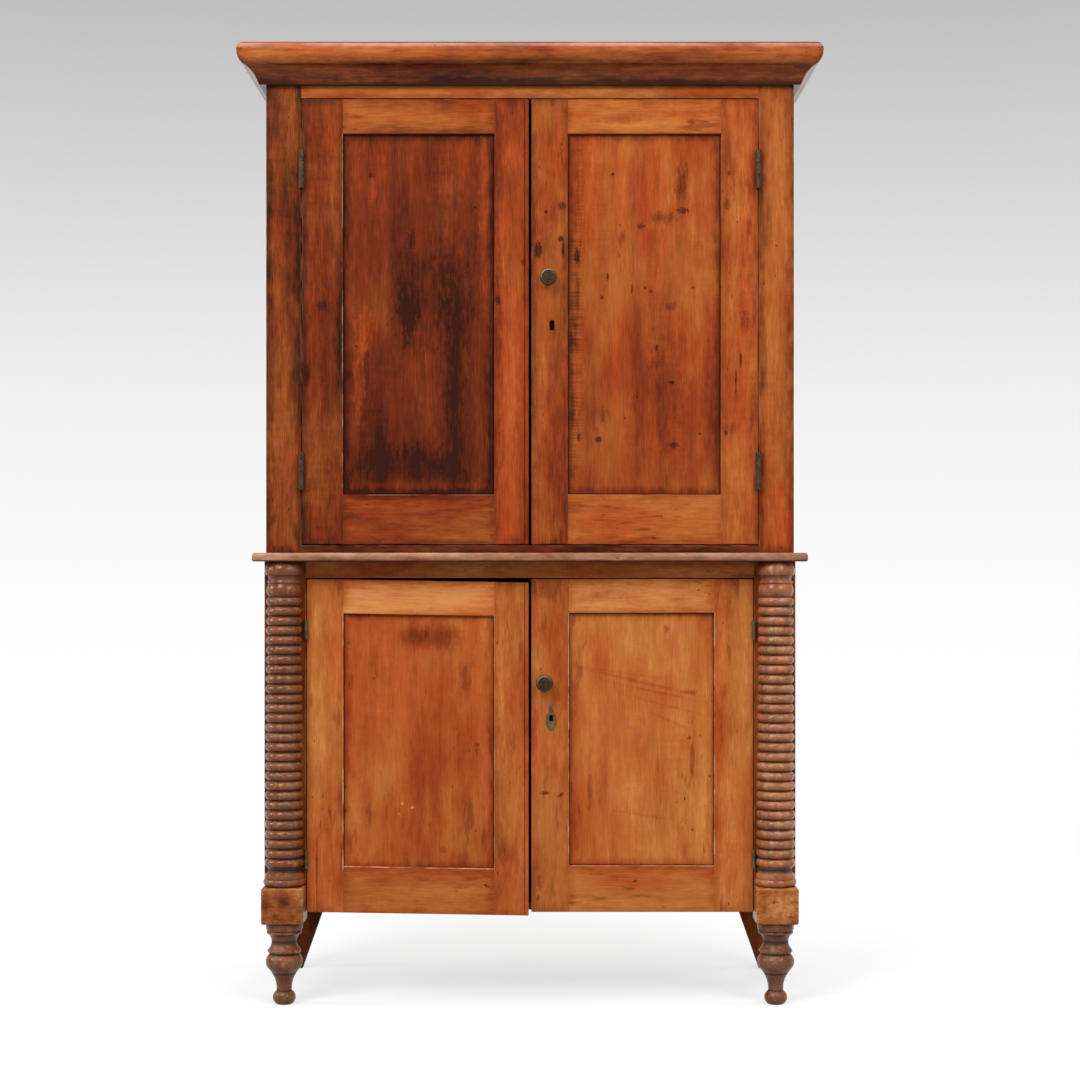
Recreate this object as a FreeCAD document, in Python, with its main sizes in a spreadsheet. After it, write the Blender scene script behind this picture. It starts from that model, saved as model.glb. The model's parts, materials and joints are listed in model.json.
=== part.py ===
"""Step-back cupboard: two cases, four panelled doors and ring-turned front columns.

Millimetres, +Z up, the front faces -Y, origin on the floor under the middle of the cupboard.
"""
import FreeCAD
import Part
import os
import re
import Sketcher

SIZES = {
    # Whole cupboard
    "case_width": 1166,
    "board_thickness": 20,
    "frame_thickness": 22,
    "shelf_thickness": 18,
    "back_thickness": 14,
    "housing_depth": 6,
    "rabbet_width": 10,
    "overrun": 5,
    "joint_play": 0.2,
    # Waist board and the two front planes behind its front edge
    "waist_width": 1206,
    "waist_depth": 500,
    "waist_thickness": 19,
    "waist_top_round": 6,
    "waist_bottom_round": 4,
    "lower_setback": 62,
    "upper_setback": 92,
    # Upper case
    "upper_case_height": 1119,
    "upper_stile_width": 78,
    "upper_head": 115,
    "sill_thickness": 16,
    "top_thickness": 19,
    "upper_shelf_gap": 300,
    "shelf_setback": 26,
    "cornice_height": 88,
    "cornice_overhang": 58,
    # Lower case
    "lower_stile_width": 91,
    "lower_stile_thickness": 32,
    "lower_rail_height": 36,
    "floor_rise": 19,
    "lower_shelf_gap": 344,
    "rear_leg_width": 111,
    "rear_leg_thickness": 30,
    "rear_foot_width": 41,
    # Front feet and columns
    "block_width": 92,
    "block_height": 79,
    "block_proud": 60,
    "foot_height": 179,
    "foot_radius": 46,
    "foot_tenon_width": 40,
    "foot_tenon_thickness": 12,
    "foot_tenon_length": 30,
    "column_axis_proud": 14,
    "column_height": 710,
    "column_radius": 43,
    "ring_depth": 6,
    "hinge_notch_play": 1.2,
    # Doors
    "door_gap": 2.5,
    "hinge_gap": 1.5,
    "meeting_gap": 6,
    "upper_top_rail": 76,
    "upper_bottom_rail": 110,
    "lower_top_rail": 75,
    "lower_bottom_rail": 102,
    "upper_left_hinge_stile": 90,
    "upper_left_meeting_stile": 76,
    "upper_right_hinge_stile": 82,
    "upper_right_meeting_stile": 81,
    "lower_left_hinge_stile": 81,
    "lower_left_meeting_stile": 76,
    "lower_right_hinge_stile": 86,
    "lower_right_meeting_stile": 83,
    "lower_left_drop": 8,
    "panel_recess": 9,
    "panel_thickness": 8,
    "groove_depth": 10,
    "panel_play": 1,
    "tenon_length": 45,
    "tenon_shoulder": 14,
    "bead_width": 8,
    "quirk_width": 1.6,
    "quirk_depth": 2.5,
    # Hinges
    "upper_hinge_length": 84,
    "upper_barrel_radius": 6.2,
    "upper_low_hinge_inset": 162,
    "upper_high_hinge_inset": 155,
    "lower_hinge_length": 42,
    "lower_barrel_radius": 4.4,
    "lower_low_hinge_inset": 117,
    "lower_high_hinge_inset": 112,
    "barrel_clearance": 1,
    "knuckle_gap": 0.4,
    "leaf_thickness": 2,
    "leaf_depth": 16,
    "pin_share": 0.4,
    "pin_play": 0.05,
    # Knobs, keyholes and locks
    "knob_radius": 18,
    "knob_projection": 30,
    "knob_peg_radius": 5,
    "knob_peg_length": 15,
    "upper_knob_offset": 40.6,
    "upper_knob_rise": 607,
    "lower_knob_offset": 32,
    "lower_knob_rise": 503,
    "upper_keyhole_offset": 48.4,
    "upper_keyhole_rise": 503,
    "lower_keyhole_offset": 46.5,
    "lower_keyhole_rise": 426,
    "upper_keyhole_width": 10.6,
    "upper_keyhole_length": 23.5,
    "lower_keyhole_width": 8,
    "lower_keyhole_length": 15,
    "escutcheon_width": 22.5,
    "escutcheon_length": 58,
    "escutcheon_thickness": 1.5,
    "lock_width": 60,
    "lock_height": 70,
    "lock_depth": 14,
    "lock_wall": 1.5,
    "lock_edge": 9,
    "lock_bolt_length": 50,
    "lock_bolt_height": 16,
    "lock_bolt_thickness": 6,
    "lock_bolt_play": 0.3,
    # Turn buttons that hold the left doors
    "button_length": 70,
    "button_width": 16,
    "button_thickness": 10,
    "button_peg_radius": 4,
    "button_peg_length": 12,
    "button_peg_play": 0.08,
    "button_face_play": 0.5,
    "button_inset": 36,
}

BACK_BOARD_COUNT = 5
RING_COUNT = 28

# Outlines, as shares of the size across and the size along that they follow.
# A two-number row is the end of a straight line, a four-number row the middle and the end of an arc.
CORNICE_SHARES = [
    (0.267, 0),
    (0.305, 0.045),
    (0.440, 0.235, 0.690, 0.465),
    (0.895, 0.615, 0.997, 0.790),
    (0.970, 0.925, 0.800, 1.000),
    (0, 1),
]
FOOT_SHARES = [
    (0.848, 1),
    (0.875, 0.952, 0.840, 0.905),
    (0.775, 0.895),
    (0.833, 0.880, 0.775, 0.862),
    (0.598, 0.770, 0.740, 0.676),
    (0.790, 0.654, 0.740, 0.630),
    (0.695, 0.614),
    (0.880, 0.528, 0.735, 0.430),
    (0.445, 0.310, 0.360, 0.190),
    (0.360, 0.165),
    (0.545, 0.087, 0.290, 0),
    (0, 0),
]
COLUMN_BASE_SHARES = [
    (0.930, 0),
    (1.060, 0.0115, 0.985, 0.0240),
    (1.010, 0.0260),
    (0.985, 0.0380),
    (0.840, 0.0440, 0.800, 0.0530),
    (0.840, 0.0560),
]
COLUMN_TOP_SHARES = [
    (0.825, 0.8950),
    (0.905, 0.9120, 0.825, 0.9290),
    (0.810, 0.9310),
    (0.856, 0.9360, 0.810, 0.9410),
    (0.795, 0.9430),
    (0.805, 0.9500, 0.862, 0.9560),
    (0.925, 0.9575),
    (0.975, 0.9760, 0.690, 1),
    (0, 1),
]
FIRST_RING_SHARE = 0.0718
RING_PITCH_SHARE = 0.0298
RING_HALF_HEIGHT_SHARE = 0.0118
TOP_RING_SHARE = 0.915
KNOB_SHARES = [
    (0.278, 0),
    (0.560, 0),
    (0.560, 0.080),
    (0.360, 0.300, 0.520, 0.560),
    (0.960, 0.640),
    (1.030, 0.740, 0.960, 0.840),
    (0.790, 0.960),
    (0, 1),
]
ESCUTCHEON_SHARES = [
    (0.180, 0),
    (0.260, 0.060),
    (0.500, 0.400, 0.270, 0.680),
    (0.220, 0.720),
    (0.200, 0.950),
    (0.140, 1),
    (0, 1),
]
BUTTON_PIVOT_SHARE = 0.22
KEYHOLE_SHARE = 0.47
LOCK_BOLT_SHARE = 0.25
END_KNUCKLE_SHARES = [(-0.5, -0.2), (0.2, 0.5)]
MIDDLE_KNUCKLE_SHARES = [(-0.2, 0.2)]
WHOLE_HINGE_SHARES = (-0.5, 0.5)

DOC = FreeCAD.newDocument("StepBackCupboard")
SHEET = DOC.addObject("Spreadsheet::Sheet", "Sizes")
for row, (alias, value) in enumerate(SIZES.items(), 1):
    SHEET.set(f"A{row}", alias)
    SHEET.set(f"B{row}", str(value))
    SHEET.setAlias(f"B{row}", alias)
DOC.recompute()

NODES = []
UPRIGHT = FreeCAD.Vector(0, 0, 1)

# Places worked out from the sizes
BACK = "(waist_depth / 2)"
LOWER_FACE = "(lower_setback - waist_depth / 2)"
UPPER_FACE = "(upper_setback - waist_depth / 2)"
SIDE = "(case_width / 2)"
SIDE_INNER = "(case_width / 2 - board_thickness)"
BLOCK_TOP = "(foot_height + block_height)"
LOWER_FLOOR = "(foot_height + floor_rise)"
LOWER_FLOOR_TOP = f"({LOWER_FLOOR} + shelf_thickness)"
LOWER_SHELF = f"({LOWER_FLOOR_TOP} + lower_shelf_gap)"
WAIST_BOTTOM = f"({BLOCK_TOP} + column_height)"
WAIST_TOP = f"({WAIST_BOTTOM} + waist_thickness)"
CASE_TOP = f"({WAIST_TOP} + upper_case_height)"
SIDE_TOP = f"({CASE_TOP} - top_thickness)"
CORNICE_BOTTOM = f"({CASE_TOP} - cornice_height)"
BACK_FACE = f"({BACK} - back_thickness)"
UPPER_FRAME_BACK = f"({UPPER_FACE} + frame_thickness)"
LOWER_STILE_BACK = f"({LOWER_FACE} + lower_stile_thickness)"
LEG_FRONT = f"({BACK} - rear_leg_thickness)"
LEG_INNER = f"({SIDE} - rear_leg_width)"
UPPER_OPENING = f"({SIDE} - upper_stile_width)"
LOWER_OPENING = f"({SIDE} - lower_stile_width)"
UPPER_OPENING_TOP = f"({CASE_TOP} - upper_head)"
LOWER_OPENING_TOP = f"({WAIST_BOTTOM} - lower_rail_height)"
SILL_TOP = f"({WAIST_TOP} + sill_thickness)"
COLUMN_X = f"({LOWER_OPENING} + block_width / 2)"
COLUMN_Y = f"({LOWER_FACE} - column_axis_proud)"
UPPER_HINGES = {
    "low": f"({SILL_TOP} + door_gap + upper_low_hinge_inset)",
    "high": f"({UPPER_OPENING_TOP} - door_gap - upper_high_hinge_inset)",
}
LOWER_HINGES = {
    "low": f"({LOWER_FLOOR} + lower_low_hinge_inset)",
    "high": f"({LOWER_OPENING_TOP} - door_gap - lower_high_hinge_inset)",
}


def formula(text):
    """Return a formula in size names as an expression that reads the sheet."""
    def named(match):
        return f"Sizes.{match.group()}" if match.group() in SIZES else match.group()
    return re.sub(r"[A-Za-z_]\w*", named, str(text))


def size(alias):
    """Return a size from the sheet as a number."""
    return float(SHEET.get(alias))


def bind(item, **formulas):
    """Bind properties of an object to formulas; x, y and z are its place."""
    for name, text in formulas.items():
        path = f"Placement.Base.{name}" if name in ("x", "y", "z") else name
        item.setExpression(path, formula(text))
    return item


def board(label, across, deep, up):
    """Make a box between pairs of formulas along X, Y and Z."""
    item = DOC.addObject("Part::Box", label)
    bind(item, Length=f"({across[1]}) - ({across[0]})", Width=f"({deep[1]}) - ({deep[0]})")
    return bind(item, Height=f"({up[1]}) - ({up[0]})", x=across[0], y=deep[0], z=up[0])


def peg(label, radius, length, place):
    """Make a cylinder that runs from a place towards +Y."""
    item = DOC.addObject("Part::Cylinder", label)
    item.Placement.Rotation = FreeCAD.Rotation(FreeCAD.Vector(1, 0, 0), -90)
    return bind(item, Radius=radius, Height=length, x=place[0], y=place[1], z=place[2])


def post(label, radius, length, place):
    """Make a cylinder that runs from a place towards +Z."""
    item = DOC.addObject("Part::Cylinder", label)
    return bind(item, Radius=radius, Height=length, x=place[0], y=place[1], z=place[2])


def fuse(label, items):
    """Join solids, or gather separate ones, into one object."""
    item = DOC.addObject("Part::MultiFuse", label)
    item.Shapes = items
    return item


def cut(label, base, tools):
    """Cut one or more tools from a solid."""
    item = DOC.addObject("Part::Cut", label)
    item.Base = base
    item.Tool = tools[0] if len(tools) == 1 else fuse(f"{label}_cutters", tools)
    return item


def group(label, items):
    """Gather separate solids into one object."""
    item = DOC.addObject("Part::Compound", label)
    item.Links = items
    return item


def node(label, item):
    """Name an object as a finished sub-part."""
    item.Label = label
    NODES.append(item)
    return item


def mirrored(sign, pair):
    """Return a span of X formulas on the left (-1) or right (+1) half."""
    return (f"-({pair[1]})", f"-({pair[0]})") if sign < 0 else pair


def origin_plane(body, role):
    """Return one of a body's own origin planes."""
    return next(plane for plane in body.Origin.OriginFeatures if plane.Role == role)


def pinned(geometry, vertex, across, along):
    """Return the constraints that hold a sketch point at (size name, share) pairs.

    Each comes with the formula that it follows, or None where it lies on an axis.
    """
    held = []
    for kind, axis, (alias, share) in (("DistanceX", -2, across), ("DistanceY", -1, along)):
        if share == 0:
            held.append((Sketcher.Constraint("PointOnObject", geometry, vertex, axis), None))
        else:
            value = size(alias) * share
            text = f"{alias} * {share:.6g}"
            held.append((Sketcher.Constraint(kind, -1, 1, geometry, vertex, value), text))
    return held


def outline(body, role, start, rows, across, along):
    """Draw a closed outline of lines and three-point arcs, its points shares of two sizes.

    Args:
        body: The body that gets the sketch.
        role: The origin plane that it lies on.
        start: The first point, as two shares.
        rows: The other points, as in the tables above.
        across: The size that the first share follows.
        along: The size that the second share follows.

    Returns:
        The sketch.
    """
    sketch = body.newObject("Sketcher::SketchObject", f"{body.Name}Outline")
    sketch.AttachmentSupport = [(origin_plane(body, role), "")]
    sketch.MapMode = "FlatFace"
    wide, tall = size(across), size(along)

    def spot(shares):
        return FreeCAD.Vector(shares[0] * wide, shares[1] * tall, 0)

    rows = list(rows) + [tuple(start)]
    lines, ends, marks = [], [], []
    here = spot(start)
    for row in rows:
        there = spot(row[-2:])
        if len(row) == 2:
            lines.append(Part.LineSegment(here, there))
            ends.append((1, 2))
        else:
            arc = Part.Arc(here, spot(row[:2]), there)
            lines.append(arc)
            middle = spot(row[:2])
            left_turn = (middle - here).cross(there - middle).z > 0
            ends.append((1, 2) if left_turn else (2, 1))
        here = there
    sketch.addGeometry(lines, False)
    held = []
    for index, row in enumerate(rows):
        after = (index + 1) % len(rows)
        joint = Sketcher.Constraint("Coincident", index, ends[index][1], after, ends[after][0])
        held.append((joint, None))
        held += pinned(index, ends[index][1], (across, row[-2]), (along, row[-1]))
        if len(row) == 4:
            mark = sketch.addGeometry(Part.Point(spot(row[:2])), True)
            held.append((Sketcher.Constraint("PointOnObject", mark, 1, index), None))
            held += pinned(mark, 1, (across, row[0]), (along, row[1]))
    sketch.addConstraint([constraint for constraint, text in held])
    for index, (constraint, text) in enumerate(held):
        if text:
            sketch.setExpression(f"Constraints[{index}]", formula(text))
    return sketch


def body_of(label):
    """Start a body."""
    return DOC.addObject("PartDesign::Body", label)


def revolve(body, sketch):
    """Turn a sketch about its upright axis."""
    feature = body.newObject("PartDesign::Revolution", f"{body.Name}Turning")
    feature.Profile = sketch
    feature.ReferenceAxis = (sketch, ["V_Axis"])
    feature.Angle = 360
    return feature


def extrude(body, sketch, length, both=False):
    """Pad a sketch by a formula, to both sides if asked."""
    feature = body.newObject("PartDesign::Pad", f"{body.Name}Pad")
    feature.Profile = sketch
    feature.Midplane = both
    feature.setExpression("Length", formula(length))
    return feature


# Upper case
for side, sign in (("left", -1), ("right", 1)):
    blank = board(
        f"upper_{side}_side_blank",
        mirrored(sign, (SIDE_INNER, SIDE)),
        (UPPER_FRAME_BACK, BACK),
        (WAIST_TOP, SIDE_TOP),
    )
    rabbet = board(
        f"upper_{side}_side_rabbet",
        mirrored(sign, (f"{SIDE_INNER} - overrun", f"{SIDE_INNER} + rabbet_width")),
        (BACK_FACE, f"{BACK} + overrun"),
        (f"{WAIST_TOP} - overrun", f"{SIDE_TOP} + overrun"),
    )
    housings = [
        board(
            f"upper_{side}_side_housing_{shelf}",
            mirrored(sign, (f"{SIDE_INNER} - overrun", f"{SIDE_INNER} + housing_depth")),
            (f"{UPPER_FRAME_BACK} + shelf_setback", BACK_FACE),
            (
                f"{SILL_TOP} + {shelf} * upper_shelf_gap + {shelf - 1} * shelf_thickness",
                f"{SILL_TOP} + {shelf} * (upper_shelf_gap + shelf_thickness)",
            ),
        )
        for shelf in (1, 2)
    ]
    node(f"upper_{side}_side", cut(f"upper_{side}_side", blank, [rabbet] + housings))

    stile = board(
        f"upper_{side}_stile_blank",
        mirrored(sign, (UPPER_OPENING, SIDE)),
        (UPPER_FACE, UPPER_FRAME_BACK),
        (WAIST_TOP, SIDE_TOP),
    )
    mortise = board(
        f"upper_{side}_stile_mortise",
        mirrored(sign, (f"{UPPER_OPENING} - overrun", f"{UPPER_OPENING} + tenon_length + panel_play")),
        (f"{UPPER_FACE} + panel_recess", f"{UPPER_FACE} + panel_recess + panel_thickness"),
        (f"{UPPER_OPENING_TOP} + tenon_shoulder", f"{SIDE_TOP} - tenon_shoulder"),
    )
    recesses = [
        board(
            f"upper_{side}_stile_hinge_{place}",
            mirrored(sign, (f"{UPPER_OPENING} - overrun", f"{UPPER_OPENING} + leaf_thickness")),
            (f"{UPPER_FACE} - overrun", f"{UPPER_FACE} + leaf_depth"),
            (f"{middle} - upper_hinge_length / 2", f"{middle} + upper_hinge_length / 2"),
        )
        for place, middle in UPPER_HINGES.items()
    ]
    node(f"upper_{side}_stile", cut(f"upper_{side}_stile", stile, [mortise] + recesses))

rail = board(
    "upper_top_rail_blank",
    (f"-{UPPER_OPENING}", UPPER_OPENING),
    (UPPER_FACE, UPPER_FRAME_BACK),
    (UPPER_OPENING_TOP, SIDE_TOP),
)
tenon = board(
    "upper_top_rail_tenons",
    (f"-{UPPER_OPENING} - tenon_length", f"{UPPER_OPENING} + tenon_length"),
    (f"{UPPER_FACE} + panel_recess", f"{UPPER_FACE} + panel_recess + panel_thickness"),
    (f"{UPPER_OPENING_TOP} + tenon_shoulder + joint_play", f"{SIDE_TOP} - tenon_shoulder - joint_play"),
)
node("upper_top_rail", fuse("upper_top_rail", [rail, tenon]))

sill = board(
    "upper_bottom_board_sill",
    (f"-{UPPER_OPENING}", UPPER_OPENING),
    (UPPER_FACE, BACK_FACE),
    (WAIST_TOP, SILL_TOP),
)
floor = board(
    "upper_bottom_board_floor",
    (f"-{SIDE_INNER}", SIDE_INNER),
    (UPPER_FRAME_BACK, BACK_FACE),
    (WAIST_TOP, SILL_TOP),
)
node("upper_bottom_board", fuse("upper_bottom_board", [sill, floor]))

node(
    "upper_top_board",
    board("upper_top_board", (f"-{SIDE}", SIDE), (UPPER_FACE, BACK), (SIDE_TOP, CASE_TOP)),
)

upper_shelves = [
    board(
        f"upper_shelf_{shelf}",
        (f"-{SIDE_INNER} - housing_depth", f"{SIDE_INNER} + housing_depth"),
        (f"{UPPER_FRAME_BACK} + shelf_setback", BACK_FACE),
        (
            f"{SILL_TOP} + {shelf} * upper_shelf_gap + {shelf - 1} * shelf_thickness",
            f"{SILL_TOP} + {shelf} * (upper_shelf_gap + shelf_thickness)",
        ),
    )
    for shelf in (1, 2)
]
node("upper_shelves", group("upper_shelves", upper_shelves))


def back_boards(label, half_width, up):
    """Make the row of upright back boards of one case."""
    step = f"(2 * {half_width} / {BACK_BOARD_COUNT})"
    boards = [
        board(
            f"{label}_{number}",
            (f"-{half_width} + {number} * {step}", f"-{half_width} + {number + 1} * {step} - joint_play"),
            (BACK_FACE, BACK),
            up,
        )
        for number in range(BACK_BOARD_COUNT)
    ]
    node(label, group(label, boards))


back_boards("upper_back_boards", f"({SIDE_INNER} + rabbet_width)", (WAIST_TOP, SIDE_TOP))

# Cornice: a front piece and two returns, mitred at the corners
RETURN_LENGTH = f"({BACK} - {UPPER_FACE})"


def cornice_piece(label, turn, place, near, far):
    """Make one piece of the cornice: a moulded run trimmed to its mitres.

    Args:
        label: The piece's name.
        turn: The turn about Z that points the moulding outwards.
        place: X and Y of the corner that the run is measured from.
        near: The run's two ends along the case.
        far: The run's two ends at its outer edge.
    """
    run = body_of(f"{label}_run")
    sketch = outline(run, "YZ_Plane", (0, 0), CORNICE_SHARES, "cornice_overhang", "cornice_height")
    extrude(run, sketch, "2 * case_width", both=True)
    prism = DOC.addObject("Part::Wedge", f"{label}_mitres")
    bind(prism, Xmin=near[0], Xmax=near[1], X2min=far[0], X2max=far[1], Ymin="0")
    bind(prism, Ymax="cornice_overhang", Zmin="0", Z2min="0")
    bind(prism, Zmax="cornice_height", Z2max="cornice_height")
    for item in (run, prism):
        item.Placement.Rotation = FreeCAD.Rotation(UPRIGHT, turn)
        bind(item, x=place[0], y=place[1], z=CORNICE_BOTTOM)
    piece = DOC.addObject("Part::Common", label)
    piece.Base = run
    piece.Tool = prism
    return piece


front_piece = cornice_piece(
    "cornice_front",
    180,
    ("0", UPPER_FACE),
    (f"-{SIDE}", SIDE),
    (f"-{SIDE} - cornice_overhang", f"{SIDE} + cornice_overhang"),
)
left_return = cornice_piece(
    "cornice_left_return",
    90,
    (f"-{SIDE}", UPPER_FACE),
    ("0", RETURN_LENGTH),
    ("-cornice_overhang", RETURN_LENGTH),
)
right_return = cornice_piece(
    "cornice_right_return",
    -90,
    (SIDE, UPPER_FACE),
    (f"-{RETURN_LENGTH}", "0"),
    (f"-{RETURN_LENGTH}", "cornice_overhang"),
)
node("cornice_front", front_piece)
node("cornice_returns", group("cornice_returns", [left_return, right_return]))

# Waist board, with its front and side edges rounded over
waist = body_of("waist_board")
waist_sketch = outline(
    waist,
    "XY_Plane",
    (-0.5, -0.5),
    [(0.5, -0.5), (0.5, 0.5), (-0.5, 0.5)],
    "waist_width",
    "waist_depth",
)
waist_pad = extrude(waist, waist_sketch, "waist_thickness")
DOC.recompute()
rim = {"top": [], "bottom": []}
for index, edge in enumerate(waist_pad.Shape.Edges, 1):
    middle = edge.CenterOfMass
    level = [vertex.Z for vertex in edge.Vertexes]
    if abs(level[0] - level[1]) < 1e-6 and middle.y < size("waist_depth") / 2 - 1e-6:
        rim["top" if middle.z > size("waist_thickness") / 2 else "bottom"].append(f"Edge{index}")
lower_round = waist.newObject("PartDesign::Fillet", "WaistBottomRound")
lower_round.Base = (waist_pad, rim["bottom"])
lower_round.setExpression("Radius", formula("waist_bottom_round"))
DOC.recompute()
top_edges = [
    f"Edge{index}"
    for index, edge in enumerate(lower_round.Shape.Edges, 1)
    if min(vertex.Z for vertex in edge.Vertexes) > size("waist_thickness") - 1e-6
    and edge.CenterOfMass.y < size("waist_depth") / 2 - 1e-6
]
top_round = waist.newObject("PartDesign::Fillet", "WaistTopRound")
top_round.Base = (lower_round, top_edges)
top_round.setExpression("Radius", formula("waist_top_round"))
bind(waist, z=WAIST_BOTTOM)
node("waist_board", waist)

# Lower case
for side, sign in (("left", -1), ("right", 1)):
    blank = board(
        f"lower_{side}_side_blank",
        mirrored(sign, (SIDE_INNER, SIDE)),
        (LOWER_STILE_BACK, LEG_FRONT),
        (LOWER_FLOOR, WAIST_BOTTOM),
    )
    housing = board(
        f"lower_{side}_side_housing",
        mirrored(sign, (f"{SIDE_INNER} - overrun", f"{SIDE_INNER} + housing_depth")),
        (f"{LOWER_STILE_BACK} + shelf_setback", f"{LEG_FRONT} + overrun"),
        (LOWER_SHELF, f"{LOWER_SHELF} + shelf_thickness"),
    )
    node(f"lower_{side}_side", cut(f"lower_{side}_side", blank, [housing]))

    stile = board(
        f"lower_{side}_stile_blank",
        mirrored(sign, (LOWER_OPENING, SIDE)),
        (LOWER_FACE, LOWER_STILE_BACK),
        (BLOCK_TOP, WAIST_BOTTOM),
    )
    mortise = board(
        f"lower_{side}_stile_mortise",
        mirrored(sign, (f"{LOWER_OPENING} - overrun", f"{LOWER_OPENING} + tenon_length + panel_play")),
        (f"{LOWER_FACE} + panel_recess", f"{LOWER_FACE} + panel_recess + panel_thickness"),
        (f"{LOWER_OPENING_TOP} + tenon_shoulder / 2", f"{WAIST_BOTTOM} - tenon_shoulder / 2"),
    )
    foot_mortise = board(
        f"lower_{side}_stile_foot_mortise",
        mirrored(
            sign,
            (
                f"{COLUMN_X} - foot_tenon_width / 2 - joint_play",
                f"{COLUMN_X} + foot_tenon_width / 2 + joint_play",
            ),
        ),
        (
            f"{LOWER_FACE} + (lower_stile_thickness - foot_tenon_thickness) / 2 - joint_play",
            f"{LOWER_FACE} + (lower_stile_thickness + foot_tenon_thickness) / 2 + joint_play",
        ),
        (f"{BLOCK_TOP} - overrun", f"{BLOCK_TOP} + foot_tenon_length + panel_play"),
    )
    recesses = [
        board(
            f"lower_{side}_stile_hinge_{place}",
            mirrored(sign, (f"{LOWER_OPENING} - overrun", f"{LOWER_OPENING} + leaf_thickness")),
            (f"{LOWER_FACE} - overrun", f"{LOWER_FACE} + leaf_depth"),
            (f"{middle} - lower_hinge_length / 2", f"{middle} + lower_hinge_length / 2"),
        )
        for place, middle in LOWER_HINGES.items()
    ]
    node(f"lower_{side}_stile", cut(f"lower_{side}_stile", stile, [mortise, foot_mortise] + recesses))

rail = board(
    "lower_top_rail_blank",
    (f"-{LOWER_OPENING}", LOWER_OPENING),
    (LOWER_FACE, f"{LOWER_FACE} + frame_thickness"),
    (LOWER_OPENING_TOP, WAIST_BOTTOM),
)
tenon = board(
    "lower_top_rail_tenons",
    (f"-{LOWER_OPENING} - tenon_length", f"{LOWER_OPENING} + tenon_length"),
    (f"{LOWER_FACE} + panel_recess", f"{LOWER_FACE} + panel_recess + panel_thickness"),
    (
        f"{LOWER_OPENING_TOP} + tenon_shoulder / 2 + joint_play",
        f"{WAIST_BOTTOM} - tenon_shoulder / 2 - joint_play",
    ),
)
node("lower_top_rail", fuse("lower_top_rail", [rail, tenon]))


def level_board(label, half_width, front, up):
    """Make a lower shelf or floor, notched round the rear legs."""
    blank = board(f"{label}_blank", (f"-{half_width}", half_width), (front, BACK_FACE), up)
    notches = [
        board(
            f"{label}_{side}_notch",
            mirrored(sign, (f"{SIDE} - rear_leg_width", f"{SIDE} + overrun")),
            (LEG_FRONT, f"{BACK} + overrun"),
            (f"{up[0]} - overrun", f"{up[1]} + overrun"),
        )
        for side, sign in (("left", -1), ("right", 1))
    ]
    node(label, cut(label, blank, notches))


level_board(
    "lower_bottom_board",
    SIDE_INNER,
    LOWER_STILE_BACK,
    (LOWER_FLOOR, LOWER_FLOOR_TOP),
)
level_board(
    "lower_shelf",
    f"({SIDE_INNER} + housing_depth)",
    f"({LOWER_STILE_BACK} + shelf_setback)",
    (LOWER_SHELF, f"{LOWER_SHELF} + shelf_thickness"),
)

back_boards(
    "lower_back_boards", f"({LEG_INNER} + rabbet_width)", (LOWER_FLOOR, WAIST_BOTTOM)
)


def rear_leg(side, sign):
    """Make a rear leg: a plank at the back corner whose foot tapers on its inner edge."""
    blank = board(
        f"{side}_rear_leg_blank",
        mirrored(sign, (LEG_INNER, SIDE)),
        (LEG_FRONT, BACK),
        ("0", WAIST_BOTTOM),
    )
    rabbet = board(
        f"{side}_rear_leg_rabbet",
        mirrored(sign, (f"{LEG_INNER} - overrun", f"{LEG_INNER} + rabbet_width")),
        (BACK_FACE, f"{BACK} + overrun"),
        (LOWER_FLOOR, f"{WAIST_BOTTOM} + overrun"),
    )
    taper = DOC.addObject("Part::Wedge", f"{side}_rear_leg_taper")
    bind(taper, Xmin="-overrun", X2min="-overrun", Xmax="rear_leg_width - rear_foot_width", X2max="0")
    bind(taper, Ymin="0", Ymax=LOWER_FLOOR, Zmin="-overrun", Z2min="-overrun")
    bind(taper, Zmax="rear_leg_thickness + overrun", Z2max="rear_leg_thickness + overrun")
    if sign > 0:
        taper.Placement.Rotation = FreeCAD.Rotation(FreeCAD.Vector(1, 0, 0), 90)
        bind(taper, x=LEG_INNER, y=BACK, z="0")
    else:
        stand = FreeCAD.Rotation(FreeCAD.Vector(1, 0, 0), 90)
        taper.Placement.Rotation = FreeCAD.Rotation(UPRIGHT, 180).multiply(stand)
        bind(taper, x=f"-{LEG_INNER}", y=LEG_FRONT, z="0")
    return cut(f"{side}_rear_leg", blank, [rabbet, taper])


node("rear_legs", group("rear_legs", [rear_leg("left", -1), rear_leg("right", 1)]))


# Front feet and columns
def front_foot(side, sign):
    """Make a front foot: a square block with a turned foot below and a tenon above."""
    turned = body_of(f"{side}_foot_turning")
    revolve(turned, outline(turned, "XZ_Plane", (0, 1), FOOT_SHARES, "foot_radius", "foot_height"))
    bind(turned, x=f"{sign} * {COLUMN_X}", y=COLUMN_Y)
    block = board(
        f"{side}_foot_block",
        mirrored(sign, (f"{COLUMN_X} - block_width / 2", f"{COLUMN_X} + block_width / 2")),
        (f"{LOWER_FACE} - block_proud", LOWER_STILE_BACK),
        ("foot_height", BLOCK_TOP),
    )
    tenon = board(
        f"{side}_foot_tenon",
        mirrored(
            sign, (f"{COLUMN_X} - foot_tenon_width / 2", f"{COLUMN_X} + foot_tenon_width / 2")
        ),
        (
            f"{LOWER_FACE} + (lower_stile_thickness - foot_tenon_thickness) / 2",
            f"{LOWER_FACE} + (lower_stile_thickness + foot_tenon_thickness) / 2",
        ),
        (f"{BLOCK_TOP} - overrun", f"{BLOCK_TOP} + foot_tenon_length"),
    )
    node(f"{side}_front_foot", fuse(f"{side}_front_foot", [turned, block, tenon]))


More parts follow.
